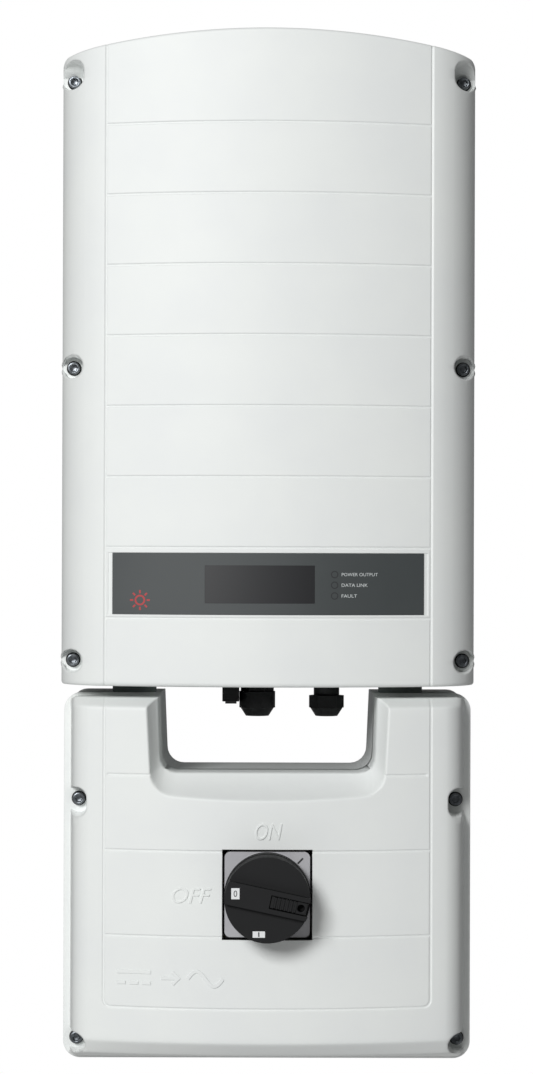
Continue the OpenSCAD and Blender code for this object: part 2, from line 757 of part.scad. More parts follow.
module switch_box_gasket() color("dimgray") hung()
    rim_ring(tray_d, rim_d, seal_in[0], seal_in[1], box = true);

module switch_box_enclosure() color(cast_col) hung() difference() {
    union() {
        // walls round the outline and along the notch
        difference() {
            slab(box_back_d, tray_d) box_outline(tray_inset);
            difference() {
                slab(box_back_d - 1, tray_d + 1) box_outline(tray_inset + wall_t);
                notch_void(tray_inset + wall_t);
            }
        }
        slab(box_back_d, box_back_d + back_t) box_outline(tray_inset + 0.5);
        slab(tray_d - flange_t, tray_d) difference() {
            box_outline(tray_inset + 0.5);
            box_ring_outline(flange_w + 1);
        }
        for (p = box_screws) intersection() {
            bar_y(p[0], p[1], 6, tray_d - 17, tray_d);
            slab(box_back_d, tray_d) box_outline(tray_inset);
        }
        // thick rings round the conduit holes in the foot
        for (x = [-conduit_x, conduit_x])
            translate([x, -fit_d + 8, tray_inset + 1]) cylinder(r = conduit_dia / 2 + 4, h = 8);
    }
    notch_void(tray_inset);
    for (p = box_screws) bar_y(p[0], p[1], tap_r, tray_d - 15, tray_d + 1);
    for (x = [-nipple_x, nipple_x])
        translate([x, -fit_d, box_h - 10]) cylinder(r = nipple_r + 0.2, h = 20);
    for (x = [-conduit_x, conduit_x])
        translate([x, -fit_d + 8, -5]) cylinder(r = conduit_dia / 2, h = 25);
}

module switch_box_screws() color(steel_col) hung() socket_screws(box_screws);
module switch_box_screw_washers() color("dimgray") hung() screw_washers(box_screws);

// ---------- safety switch ----------

module switch_plate() color([0.74, 0.74, 0.76]) hung() difference() {
    union() {
        slab(plate_d - 2.5, plate_d) translate([0, switch_z]) plate_outline();
        difference() {
            bar_y(0, switch_z, knob_r - 0.5, plate_d - 1, plate_d + 1);
            bar_y(0, switch_z, knob_r - 2.5, plate_d - 2, plate_d + 2);
        }
    }
    bar_y(0, switch_z, shaft_r + 1, plate_d - 4, plate_d + 2);
}

module plate_outline() {
    h = plate_w / 2;
    r = 4.5;
    polygon(concat(
        arc_pts([h - r, r - h], r, -90, 0, 6), arc_pts([h - r, h - r], r, 0, 90, 6),
        arc_pts([r - h, h - r], r, 90, 180, 6), arc_pts([r - h, r - h], r, 180, 270, 6)));
}

// Places the knob's parts: x along the grip, y across it, z out from the wall
module on_knob() translate([0, 0, switch_z]) rotate([90, 0, 0]) rotate(grip_a) children();

module rotary_knob() color(black_col) hung() on_knob() difference() {
    union() {
        translate([0, 0, knob_back_d])
            cylinder(r = knob_r - 0.6, h = knob_face_d - grip_h - knob_back_d, $fn = 96);
        translate([0, 0, knob_back_d + 3]) cylinder(r = knob_r, h = 10, $fn = 96);
        intersection() {
            translate([0, 0, knob_back_d]) cylinder(r = knob_r - 0.6, h = knob_face_d - knob_back_d, $fn = 96);
            translate([-knob_r, -grip_w / 2, knob_back_d]) cube([2 * knob_r, grip_w, 60]);
        }
    }
    // hollow back, shaft socket, slot for the lock tab
    difference() {
        translate([0, 0, knob_back_d - 1]) cylinder(r = knob_r - 4, h = 10);
        translate([0, 0, knob_back_d - 2]) cylinder(r = shaft_r + 4, h = 20);
    }
    translate([0, 0, knob_back_d - 1]) cylinder(r = shaft_r, h = 20);
    translate([2, -tab_w / 2 - tab_gap, knob_face_d - 9]) cube([knob_r, tab_w + 2 * tab_gap, 10]);
}

// Ribbed tab that is pulled out of the grip to take padlocks
module lock_tab() color([0.12, 0.12, 0.14]) hung() on_knob() difference() {
    union() {
        translate([2.5, -tab_w / 2, knob_face_d - 9 + tab_gap])
            cube([knob_r - 5, tab_w, 8 - tab_gap]);
        for (k = [0:5]) translate([5 + 3 * k, -tab_w / 2 + 0.6, knob_face_d - 1.2])
            cube([1.4, tab_w - 1.2, 1]);
    }
    translate([25, 0, knob_face_d - 12]) cylinder(r = 2.6, h = 20);
}

module drive_shaft() color(zinc_col) hung()
    bar_y(0, switch_z, shaft_r, deck_d + 1, knob_back_d + 18.9);

module switch_mechanism() color([0.20, 0.21, 0.23]) hung() difference() {
    block([-29, 29], [deck_d + deck_n * deck_t, plate_d - 2.6], [switch_z - 29, switch_z + 29]);
    bar_y(0, switch_z, shaft_r + run_fit, deck_d, plate_d + 1);
}

module contact_decks() color([0.85, 0.84, 0.80]) hung() for (k = [0:deck_n - 1]) difference() {
    block([-28, 28], [deck_d + k * deck_t, deck_d + (k + 1) * deck_t - 0.2],
          [switch_z - 24, switch_z + 24]);
    bar_y(0, switch_z, 17, deck_d + k * deck_t + 2, deck_d + (k + 1) * deck_t);
    bar_y(0, switch_z, shaft_r + run_fit, deck_d - 1, deck_d + deck_n * deck_t);
}

module contact_rotors() color([0.75, 0.30, 0.15]) hung() for (k = [0:deck_n - 1]) difference() {
    bar_y(0, switch_z, 16.5, deck_d + k * deck_t + 3, deck_d + (k + 1) * deck_t - 1);
    bar_y(0, switch_z, shaft_r, deck_d - 1, deck_d + deck_n * deck_t);
}

module din_rail() color(zinc_col) hung() translate([-124, 0, switch_z]) rotate([90, 0, 90])
    linear_extrude(248) polygon([
        [-deck_d + 6.5, -17.5], [-deck_d + 6.5, -12.5], [-deck_d + 13, -12.5],
        [-deck_d + 13, 12.5], [-deck_d + 6.5, 12.5], [-deck_d + 6.5, 17.5],
        [-deck_d + 5.5, 17.5], [-deck_d + 5.5, 11.5], [-deck_d + 12, 11.5],
        [-deck_d + 12, -11.5], [-deck_d + 5.5, -11.5], [-deck_d + 5.5, -17.5]]);

module rail_posts() color(zinc_col) hung() {
    for (x = [-60, 60]) bar_y(x, switch_z, 5, box_back_d + back_t, deck_d - 13);
    block([-20, 20], [deck_d - 5.4, deck_d], [switch_z - 20, switch_z + 20]);
}

module dc_terminals() color([0.78, 0.78, 0.75]) hung()
    terminal_row(-121, 4, 9, [deck_d - 5.4, deck_d + 30], [lead_z[0] - 53, lead_z[0]]);

module ac_terminals() color([0.45, 0.55, 0.62]) hung()
    terminal_row(85, 4, 9, [deck_d - 5.4, deck_d + 30], [lead_z[0] - 53, lead_z[0]]);

module ground_bar() color(brass_col) hung() difference() {
    union() {
        block([-62, 62], [64, 72], [52, 62]);
        for (x = [-55, 55]) bar_y(x, 57, 4, box_back_d + back_t, 64.5);
    }
    for (k = [-4:4]) bar_y(k * 11, 57, 2.1, 62, 74);
}

module ground_screws() color(steel_col) hung() for (k = [-4:4]) difference() {
    union() {
        bar_y(k * 11, 57, 2.05, 65, 72.5);
        bar_y(k * 11, 57, 3.8, 72.1, 74.6);
    }
    block([k * 11 - 3, k * 11 + 3], [73.4, 75], [56.5, 57.5]);
}

// ---------- wall fixing ----------

module hang_rail() color(zinc_col) hung() {
    block([-120, 120], [fin_d - plate_t, fin_d], [lip_z - 30, lip_z + plate_t]);
    block([-120, 120], [3.4, fin_d], [lip_z, lip_z + plate_t]);
    block([-120, 120], [3.4, 3.4 + 2], [lip_z - 12, lip_z + plate_t]);
}

module wall_bracket() color(zinc_col) hung() difference() {
    union() {
        block([-bracket_half, bracket_half], [0, plate_t], [hang_z - 60, lip_z - hook_h]);
        block([-hook_half, hook_half], [0, hook_gap + plate_t],
              [lip_z - hook_h - plate_t, lip_z - hook_h]);
        block([-hook_half, hook_half], [hook_gap, hook_gap + plate_t],
              [lip_z - hook_h - plate_t, lip_z]);
    }
    for (x = [-1, 1]) for (z = [-1, 1])
        bar_y(x * bolt_dx / 2, hang_z + z * bolt_dz / 2, bolt_dia / 2, -1, plate_t + 1);
    for (x = [-60, 0, 60]) bar_y(x, hang_z, lighten_r, -1, plate_t + 1);
}

module foot_bracket() color(zinc_col) hung() difference() {
    union() {
        block([-foot_half, foot_half], [0, plate_t], foot_zs);
        for (z = [foot_zs[0], foot_zs[1] - plate_t])
            block([-foot_arm_half, foot_arm_half], [0, box_back_d], [z, z + plate_t]);
        for (zs = [[foot_zs[0] - foot_tab, foot_zs[0] + plate_t],
                   [foot_zs[1] - plate_t, foot_zs[1] + foot_tab]])
            block([-foot_arm_half, foot_arm_half], [box_back_d - plate_t, box_back_d], zs);
    }
    for (s = [-1, 1]) bar_y(s * foot_bolt_dx / 2, (foot_zs[0] + foot_zs[1]) / 2, 3.5, -1, plate_t + 1);
}

module wall_bumpers() color([0.12, 0.12, 0.12]) hung()
    for (s = [-1, 1]) bar_y(s * bumper_x, bumper_z, bumper_r, 0, fin_d);

inverter_cover();
inverter_cover_gasket();
inverter_enclosure();
heat_sink();
inverter_cover_screws();
inverter_screw_washers();
label_overlay();
lcd_window();
lcd_module();
status_leds();
control_board();
control_board_posts();
ribbon_cable();
power_board();
power_board_posts();
dc_link_capacitors();
power_inductors();
power_transistors();
grid_relays();
dc_input_terminals();
ac_output_terminals();
fan_frame();
fan_rotor();
left_gland_body();
right_gland_body();
gland_dome_nuts();
gland_lock_nuts();
gland_seals();
on_off_switch_body();
on_off_rocker();
light_button_housing();
light_button();
light_button_spring();
conduit_nipples();
conduit_lock_nuts();
conduit_washers();
dc_leads();
ac_leads();
switch_box_cover();
switch_box_gasket();
switch_box_enclosure();
switch_box_screws();
switch_box_screw_washers();
switch_plate();
rotary_knob();
lock_tab();
drive_shaft();
switch_mechanism();
contact_decks();
contact_rotors();
din_rail();
rail_posts();
dc_terminals();
ac_terminals();
ground_bar();
ground_screws();
hang_rail();
wall_bracket();
foot_bracket();
wall_bumpers();
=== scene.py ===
# %% [markdown]
# # A wall-hung string inverter with a safety-switch box
#
# The mechanical model is already designed and packed: every part has its real size and place.
# This lesson keeps that model as a fixed frame and builds the parts that the eye meets first in
# finer mesh work, then gives every part a finish. Row units are metres: +X is to the right, the
# front faces -Y, +Z is up, and the origin is the middle of the wall bracket's four bolt holes.

# %% Load the frame
import json
import math

import bmesh
import bpy
import numpy as np
from mathutils import Matrix, Vector


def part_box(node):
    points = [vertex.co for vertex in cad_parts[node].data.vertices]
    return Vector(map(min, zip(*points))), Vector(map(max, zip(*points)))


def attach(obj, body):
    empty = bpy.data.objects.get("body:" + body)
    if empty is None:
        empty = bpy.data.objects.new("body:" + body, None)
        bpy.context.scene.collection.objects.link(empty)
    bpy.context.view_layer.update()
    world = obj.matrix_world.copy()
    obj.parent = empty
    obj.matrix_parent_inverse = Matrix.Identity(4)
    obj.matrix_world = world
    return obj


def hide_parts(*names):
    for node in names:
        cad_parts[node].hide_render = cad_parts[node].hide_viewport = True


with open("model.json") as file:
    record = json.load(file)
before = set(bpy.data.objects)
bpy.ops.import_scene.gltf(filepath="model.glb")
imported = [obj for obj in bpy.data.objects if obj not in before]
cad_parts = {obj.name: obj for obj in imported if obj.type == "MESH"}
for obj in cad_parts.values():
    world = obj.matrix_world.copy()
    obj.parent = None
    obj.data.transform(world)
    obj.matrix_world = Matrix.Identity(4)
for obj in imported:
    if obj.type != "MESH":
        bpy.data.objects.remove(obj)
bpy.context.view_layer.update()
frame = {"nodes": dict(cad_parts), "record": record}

# %% [markdown]
# ## Working measures
#
# A case maker works in millimetres: across from the middle, out from the wall, up from the foot of
# the switch box. One function turns those three into row metres, and the driving sizes are read
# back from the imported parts, so nothing here can drift away from the design.

# %% Measures taken from the frame
MM = 0.001
foot_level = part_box("switch_box_cover")[0].z
cover_low, cover_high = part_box("inverter_cover")
box_low, box_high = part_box("switch_box_cover")

body_half = cover_high.x / MM
crown_out = -cover_low.y / MM
rim_out = -cover_high.y / MM
unit_foot = (cover_low.z - foot_level) / MM
unit_top = (cover_high.z - foot_level) / MM
box_half = box_high.x / MM
box_top = (box_high.z - foot_level) / MM
seat_out = rim_out + 6


def place(across, out, up):
    """Millimetre arrays as one array of row points."""
    across, out, up = np.broadcast_arrays(across, out, up)
    return np.stack([across * MM, -out * MM, up * MM + foot_level], axis=-1)


print(f"inverter {2 * body_half:.0f} mm wide, {unit_foot:.0f} to {unit_top:.0f} mm up")
print(f"switch box {2 * box_half:.0f} mm wide, {box_top:.0f} mm high")

# %% [markdown]
# ## One helper for shader nodes, one for colours
#
# Colours are picked as sRGB hex, as on a paint chart, and the renderer works in linear light, so one
# function converts them. One small function adds a shader node with its settings and its links.

# %% Colours and nodes
def colour(hex_code, alpha=1.0):
    """sRGB hex as linear RGBA."""
    channels = [int(hex_code[k:k + 2], 16) / 255 for k in (1, 3, 5)]
    return [c / 12.92 if c <= 0.04045 else ((c + 0.055) / 1.055) ** 2.4 for c in channels] + [alpha]


def add(tree, kind, links=(), **settings):
    """Adds a node; settings name its properties or inputs, links are (output socket, input name)."""
    node = tree.nodes.new(kind)
    for name, value in settings.items():
        label = name.replace("_", " ")
        if hasattr(node, name):
            setattr(node, name, value)
        elif label in node.inputs:
            node.inputs[label].default_value = value
        else:
            node.inputs[int(name.lstrip("i"))].default_value = value
    for output, name in links:
        tree.links.new(output, node.inputs[name])
    return node


def start_material(name):
    """A material with only its output, and a position in millimetres to hang patterns on."""
    material = bpy.data.materials.new(name)
    material.use_nodes = True
    tree = material.node_tree
    tree.nodes.clear()
    where = add(tree, "ShaderNodeTexCoord")
    scaled = add(tree, "ShaderNodeVectorMath", [(where.outputs["Object"], 0)], operation="SCALE")
    scaled.inputs["Scale"].default_value = 1 / MM
    return material, tree, scaled.outputs["Vector"]


def end_material(tree, **principled):
    """Adds the surface shader and the output; values may be numbers, colours or sockets."""
    shader = add(tree, "ShaderNodeBsdfPrincipled")
    for name, value in principled.items():
        socket = shader.inputs[name.replace("_", " ")]
        if isinstance(value, bpy.types.NodeSocket):
            tree.links.new(value, socket)
        else:
            socket.default_value = value
    add(tree, "ShaderNodeOutputMaterial", [(shader.outputs["BSDF"], "Surface")])


def mottle(tree, where, hex_low, hex_high, size_mm, detail=3.0):
    """A colour that drifts between two tones over patches of a given size."""
    noise = add(tree, "ShaderNodeTexNoise", [(where, "Vector")], Scale=1 / size_mm, Detail=detail)
    ramp = add(tree, "ShaderNodeValToRGB", [(noise.outputs["Fac"], "Fac")])
    ramp.color_ramp.elements[0].position = 0.35
    ramp.color_ramp.elements[1].position = 0.65
    ramp.color_ramp.elements[0].color = colour(hex_low)
    ramp.color_ramp.elements[1].color = colour(hex_high)
    return ramp.outputs["Color"]


def grain(tree, where, size_mm, depth_mm, detail=2.0, strength=1.0):
    """A fine bump from noise; depth is the real height of the grain."""
    noise = add(tree, "ShaderNodeTexNoise", [(where, "Vector")], Scale=1 / size_mm, Detail=detail)
    bump = add(tree, "ShaderNodeBump", [(noise.outputs["Fac"], "Height")],
               Strength=strength, Distance=depth_mm * MM)
    return bump.outputs["Normal"]


def vary(tree, where, low, high, size_mm):
    """A number that wanders between low and high, for roughness."""
    noise = add(tree, "ShaderNodeTexNoise", [(where, "Vector")], Scale=1 / size_mm, Detail=2.0)
    spread = add(tree, "ShaderNodeMapRange", [(noise.outputs["Fac"], "Value")])
    spread.inputs["To Min"].default_value = low
    spread.inputs["To Max"].default_value = high
    return spread.outputs["Result"]


print("white paint in linear light:", [round(c, 3) for c in colour("#E4E7E5")])

# %% [markdown]
# ## The finishes
#
# Each finish is named for what the real one is. Paint, moulded plastic and rubber are dielectrics,
# so they differ by colour, roughness and grain; bare metals differ by how they were made: milled,
# drawn, plated or extruded. A factory-clean product shows no wear, only small drifts of tone.

# %% Powder coat on the two covers
def make_cover_paint():
    """Polyester powder coat, satin: a faint orange peel of about 1.5 mm breaks up its highlights."""
    material, tree, where = start_material("satin_powder_coat_white")
    tone = mottle(tree, where, "#E2E5E4", "#E5E8E6", 60.0)
    # the true peel is 0.01 mm deep and 1.5 mm across; it is drawn at 2.2 mm so that it shows
    peel = grain(tree, where, 2.2, 0.02, detail=1.0, strength=0.35)
    end_material(tree, Base_Color=tone, Roughness=vary(tree, where, 0.50, 0.56, 40.0),
                 IOR=1.5, Normal=peel)
    return material


cover_paint = make_cover_paint()
print(cover_paint.name)

# %% Powder coat on the two cast trays
def make_tray_paint():
    """The same paint in light grey over a casting: the casting's skin gives a coarser grain."""
    material, tree, where = start_material("powder_coat_light_grey")
    tone = mottle(tree, where, "#C9CCCB", "#CFD2D1", 45.0)
    skin = grain(tree, where, 1.6, 0.06, detail=3.0, strength=0.5)
    end_material(tree, Base_Color=tone, Roughness=vary(tree, where, 0.45, 0.55, 30.0),
                 IOR=1.5, Normal=skin)
    return material


tray_paint = make_tray_paint()
print(tray_paint.name)

# %% Bare metals
def make_metal(name, hex_low, hex_high, rough, line_mm=None, axis="X", size_mm=25.0):
    """A bare metal. line_mm draws the die or mill lines of an extruded or rolled surface."""
    material, tree, where = start_material(name)
    tone = mottle(tree, where, hex_low, hex_high, size_mm)
    if line_mm:
        stretch = {"X": (0.02, 1.0, 1.0), "Y": (1.0, 0.02, 1.0), "Z": (1.0, 1.0, 0.02)}[axis]
        long = add(tree, "ShaderNodeMapping", [(where, "Vector")])
        long.inputs["Scale"].default_value = stretch
        normal = grain(tree, long.outputs["Vector"], line_mm, 0.02, strength=0.5)
    else:
        normal = grain(tree, where, 0.8, 0.02, strength=0.4)
    end_material(tree, Base_Color=tone, Metallic=1.0,
                 Roughness=vary(tree, where, rough - 0.05, rough + 0.05, 12.0), Normal=normal)
    return material


# extruded aluminium shows die lines along the fins, which stand upright
sink_aluminium = make_metal("extruded_aluminium", "#9EA1A3", "#A9ACAE", 0.42, 0.9, "Z")
# zinc plate on pressed sheet: brighter, with a cloudy spangle of about 8 mm
zinc_sheet = make_metal("zinc_plated_sheet", "#A3A7AB", "#B9BCBF", 0.38, size_mm=8.0)
# A2 stainless screws, cold headed and tumbled
screw_steel = make_metal("stainless_steel_tumbled", "#606468", "#75797D", 0.34, size_mm=3.0)
turned_zinc = make_metal("turned_zinc_plated_steel", "#A8ABAE", "#B8BBBD", 0.28, size_mm=6.0)
milled_brass = make_metal("milled_brass", "#B8923F", "#C9A552", 0.30, 0.7, "X")
lacquered_copper = make_metal("lacquered_copper_wire", "#A8613A", "#BF7446", 0.34, 1.2, "Y")
print("six bare metals")

# %% Moulded plastics and rubber
def make_moulded(name, hex_low, hex_high, rough, grain_mm=0.7, depth_mm=0.015, ior=1.5, size_mm=15.0):
    """A moulded or cast non-metal: spark-eroded tool texture as a fine grain."""
    material, tree, where = start_material(name)
    tone = mottle(tree, where, hex_low, hex_high, size_mm)
    normal = grain(tree, where, grain_mm, depth_mm, strength=0.45)
    end_material(tree, Base_Color=tone, IOR=ior,
                 Roughness=vary(tree, where, rough - 0.04, rough + 0.04, 9.0), Normal=normal)
    return material


gland_nylon = make_moulded("moulded_nylon_black", "#08090B", "#0B0C0E", 0.50, ior=1.45)
knob_plastic = make_moulded("moulded_thermoplastic_black", "#050608", "#07080B", 0.58, 0.9, 0.03, ior=1.4)
seal_rubber = make_moulded("silicone_rubber_black", "#1B1C1E", "#222325", 0.75, ior=1.41)
plate_plastic = make_moulded("moulded_polycarbonate_grey", "#A8A8AC", "#AEAEB1", 0.50, ior=1.58)
frame_plastic = make_moulded("moulded_frame_black", "#1A1B1D", "#202123", 0.55)
board_lacquer = make_moulded("solder_resist_green", "#1A5A38", "#206642", 0.30, 2.5, 0.03)
ribbon_vinyl = make_moulded("ribbon_vinyl_grey", "#9A9AA2", "#A6A6AD", 0.55)
sleeve_blue = make_moulded("shrink_sleeve_blue", "#26315A", "#2D3A68", 0.35)
relay_case = make_moulded("relay_case_grey", "#BFC2C6", "#C7CACD", 0.35)
terminal_green = make_moulded("terminal_polyamide_green", "#2E7357", "#357D60", 0.50)
terminal_grey = make_moulded("terminal_polyamide_grey", "#A2A29E", "#ACACA8", 0.50)
switch_body = make_moulded("switch_body_charcoal", "#2E3034", "#34363A", 0.55)
deck_cream = make_moulded("contact_deck_cream", "#D5D1C6", "#DCD8CE", 0.50)
rotor_red = make_moulded("contact_rotor_red", "#A8402A", "#B54930", 0.50)
lead_red = make_moulded("wire_insulation_red", "#96211C", "#A32822", 0.45)
lead_dark = make_moulded("wire_insulation_black", "#28282C", "#2F2F33", 0.45)
print("sixteen moulded finishes")

# %% Film, inks, window, and the conduit rings' rubber
def make_film(name, hex_low, hex_high, rough):
    """Printed polyester film: very even, with a faint pebble that dulls its highlights."""
    material, tree, where = start_material(name)
    tone = mottle(tree, where, hex_low, hex_high, 80.0)
    normal = grain(tree, where, 1.2, 0.01, strength=0.3)
    end_material(tree, Base_Color=tone, Roughness=rough, IOR=1.57, Normal=normal)
    return material


label_film = make_film("polyester_film_grey", "#373C3D", "#3B4041", 0.55)
ink_light = make_film("screen_ink_light", "#C6CBCB", "#D0D4D4", 0.50)
ink_red = make_film("screen_ink_red", "#A02226", "#AC282B", 0.50)
ink_white = make_film("screen_ink_white", "#DADCDD", "#E2E4E5", 0.50)
ink_dark = make_film("screen_ink_dark", "#1E2022", "#242628", 0.50)
smoked_window = make_film("smoked_window", "#090A0F", "#0B0D12", 0.42)
lamp_clear = make_film("lamp_lens_smoked", "#3A4041", "#424849", 0.25)
grommet_rubber = make_moulded("grommet_rubber_grey", "#8B9492", "#939C9A", 0.70, ior=1.45)
print("seven films and inks, and the rubber of the conduit rings")

# %% [markdown]
# ## Mesh helpers
#
# Large moulded covers are best made as one sheet of quads whose lines are dense only where something
# happens: along grooves, round screw hollows and over rounded edges. A sheet like that keeps smooth
# highlights, which a boolean cut would spoil. Small turned parts are skinned from stacks of rings.

# %% Meshes, soft edges and graded lines
def make_piece(name, verts, faces, body, material, slot, replaces=(), smooth=True, weld=1e-6):
    """A mesh object that rides on a body; coincident points are welded so that the skin is whole."""
    mesh = bpy.data.meshes.new(name)
    mesh.from_pydata([tuple(v) for v in verts], [], [tuple(int(k) for k in f) for f in faces])
    bm = bmesh.new()
    bm.from_mesh(mesh)
    bmesh.ops.remove_doubles(bm, verts=bm.verts, dist=weld)
    bmesh.ops.dissolve_degenerate(bm, edges=bm.edges, dist=weld / 10)
    bmesh.ops.delete(bm, geom=[v for v in bm.verts if not v.link_faces], context="VERTS")
    bm.to_mesh(mesh)
    bm.free()
    mesh.polygons.foreach_set("use_smooth", [smooth] * len(mesh.polygons))
    piece = bpy.data.objects.new(name, mesh)
    bpy.context.scene.collection.objects.link(piece)
    mesh.materials.append(material)
    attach(piece, body)
    if replaces:
        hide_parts(*replaces)
    return piece


def soften(piece, width_mm, angle=35, segments=2):
    """Rounds the sharp edges, as moulding and tumbling do."""
    bevel = piece.modifiers.new("soft_edges", "BEVEL")
    bevel.width = width_mm * MM
    bevel.segments = segments
    bevel.limit_method = "ANGLE"
    bevel.angle_limit = math.radians(angle)
    bevel.harden_normals = True
    return piece


def sharp_by_angle(piece, angle=40):
    """Smooth shading that keeps true corners."""
    piece.data.set_sharp_from_angle(angle=math.radians(angle))
    return piece


def graded(low, high, coarse, spans):
    """Rising line positions: coarse steps, and finer ones inside each (from, to, step) span."""
    cuts = sorted({low, high, *[c for a, b, _ in spans for c in (a, b) if low < c < high]})
    lines = [low]
    for a, b in zip(cuts, cuts[1:]):
        middle = (a + b) / 2
        step = min([coarse] + [s for p, q, s in spans if p <= middle <= q])
        count = max(1, math.ceil((b - a) / step - 1e-6))
        lines += [a + (b - a) * k / count for k in range(1, count + 1)]
    return np.array(lines)


def grid_faces(rows, columns, keep=None, wrap=False):
    """Quads of a rows by columns grid of points, in row order; keep drops some of them."""
    faces = []
    for r in range(rows - 1):
        for c in range(columns if wrap else columns - 1):
            if keep is None or keep[r, c]:
                d = (c + 1) % columns
                faces.append((r * columns + c, r * columns + d, (r + 1) * columns + d, (r + 1) * columns + c))
    return faces


def shift(verts, across, out, up):
    """Moves points (across, out, up) in millimetres to a place, and gives them as row points."""
    return place(verts[:, 0] + across, verts[:, 1] + out, verts[:, 2] + up)


def gather(parts):
    """Joins several (verts, faces) into one."""
    verts, faces, base = [], [], 0
    for v, f in parts:
        verts.append(np.asarray(v))
        faces += [tuple(k + base for k in face) for face in f]
        base += len(v)
    return np.concatenate(verts), faces


def thicken(piece, wall_mm):
    """Gives a sheet its wall, behind the face that is seen."""
    wall = piece.modifiers.new("wall", "SOLIDIFY")
    wall.thickness = wall_mm * MM
    wall.offset = -1
    return piece


cover_wall = 2.5
print("lines for a 1.6 mm groove:", graded(0, 10, 4, [(4, 6, 0.5)]).round(2))

# %% [markdown]
# ## How a cover sheet is shaped
#
# Three moves turn a flat grid of lines into a moulded cover. First, corners are rounded: every
# L-shaped pair of lines that meets at a corner is bent onto an arc. Second, lines that pass close to
# a screw hollow are drawn onto its rim, so that its wall is clean. Third, every point gets its
# distance from the wall: the curved front, less grooves, edge rounding, pockets and hollows.

# %% Corner arcs, screw hollows, grooves
def onto_arc(offset, radius):
    """Where a point at offset from an L's corner goes: (in from the corner, along the leg)."""
    safe = np.maximum(radius, 1e-9)
    turn = math.pi / 4 * np.clip(offset / safe, 0, 1)
    across = safe * (1 - np.cos(turn - math.pi / 4))
    along = safe * (1 - np.sin(math.pi / 4 - turn))
    bent = offset < radius
    return np.where(bent, across, 0.0), np.where(bent, along, offset)


def draw_to_rim(across, up, hollows, edge_mm, window_mm=2.0):
    """Moves the points beside each hollow's outline onto it, and onto a line just inside it."""
    for h in hollows:
        middle = np.clip(up, h["up"], h["up"] + h["rise"])
        dx, dz = across - h["across"], up - middle
        r = np.hypot(dx, dz)
        inside = r < h["radius"]
        near = np.zeros_like(inside)
        near[1:] |= inside[1:] != inside[:-1]
        near[:-1] |= inside[1:] != inside[:-1]
        near[:, 1:] |= inside[:, 1:] != inside[:, :-1]
        near[:, :-1] |= inside[:, 1:] != inside[:, :-1]
        near &= np.abs(r - h["radius"]) < window_mm
        goal = np.where(inside, h["radius"] - edge_mm, h["radius"] + 1e-4)
        scale = np.where(near, goal / np.maximum(r, 1e-6), 1.0)
        across = np.where(near, h["across"] + dx * scale, across)
        up = np.where(near, middle + dz * scale, up)
    return across, up


def sink_hollows(across, out, up, hollows):
    """Drops the points inside each hollow to its floor and rolls its rim over."""
    for h in hollows:
        middle = np.clip(up, h["up"], h["up"] + h["rise"])
        r = np.hypot(across - h["across"], up - middle)
        floor = h["floor"] + np.maximum(up - h["up"] - 3.0, 0) * h["slope"]
        roll = np.clip(1 - (r - h["radius"]) / h["roll"], 0, 1)
        rolled = out - 0.6 * h["roll"] * roll ** 2
        out = np.where(r < h["radius"], np.minimum(out, floor), np.maximum(rolled, np.minimum(out, floor)))
    return out


def groove(distance, width, depth):
    """Depth of a u-shaped groove at a distance from its middle line."""
    return depth * np.clip((width / 2 + 0.35 - np.abs(distance)) / 0.6, 0, 1)


def quarter_round(distance, radius):
    """How far a rounded edge has dropped at a distance in from the edge."""
    t = np.clip(distance, 0, radius)
    return radius - np.sqrt(np.maximum(radius ** 2 - (radius - t) ** 2, 0))


print("edge drop of a 3 mm round:", quarter_round(np.array([0, 1, 2, 3.0]), 3).round(2))

# %% [markdown]
# ## The inverter's cover
#
# Seen from above, the cover is one wide arc between two tight ones that end square to the wall, so
# the columns of the sheet follow that curve. Seen from the front its top is an arch of very large
# radius. Eight level grooves and two upright ones part its face into tiles, and a shallow pocket
# takes the label. Six hollows open to the sides, and the top two run up towards the arch.

# %% Curves of the inverter's cover
panel_half = 122.0
front_radius = 415.0
side_turn = math.asin(panel_half / front_radius)
side_radius = (body_half - panel_half) / (1 - math.sin(side_turn))
side_middle = body_half - side_radius
arch_radius = 772.0
arch_middle = unit_top - arch_radius
groove_wide, groove_deep = 1.6, 0.8
hollow_radius, hollow_roll, rim_step = 8.75, 0.9, 0.4
level_grooves = [336 + 52.7 * k for k in range(8)]
label_low, label_high, label_half = 338.8, 384.8, 119.5
window_across = (-47.1, 34.6)
window_up = (347.4, 375.6)
lamp_across, lamp_ups = 49.3, (353.1, 361.1, 369.0)


def front_out(across):
    """The inverter's face: distance from the wall at a place across."""
    a = np.minimum(np.abs(across), body_half)
    wide = crown_out - front_radius + np.sqrt(front_radius ** 2 - a ** 2)
    tight = rim_out + np.sqrt(np.maximum(side_radius ** 2 - (a - side_middle) ** 2, 0))
    return np.where(a <= panel_half, wide, tight)


def arch_up(across):
    """Height of the arched top at a place across."""
    return arch_middle + np.sqrt(arch_radius ** 2 - across ** 2)


inverter_screws = [(s * 148.3, z) for s in (-1, 1) for z in (303.0, 525.0, 743.0)]
inverter_hollows = [
    {"across": x, "up": z, "rise": 4.5 if z > 700 else 0.0, "radius": hollow_radius,
     "floor": seat_out, "slope": 1.1 if z > 700 else 0.0, "roll": hollow_roll}
    for x, z in inverter_screws]
print(f"side arcs of {side_radius:.1f} mm, arch drops {arch_up(0) - arch_up(body_half):.1f} mm")

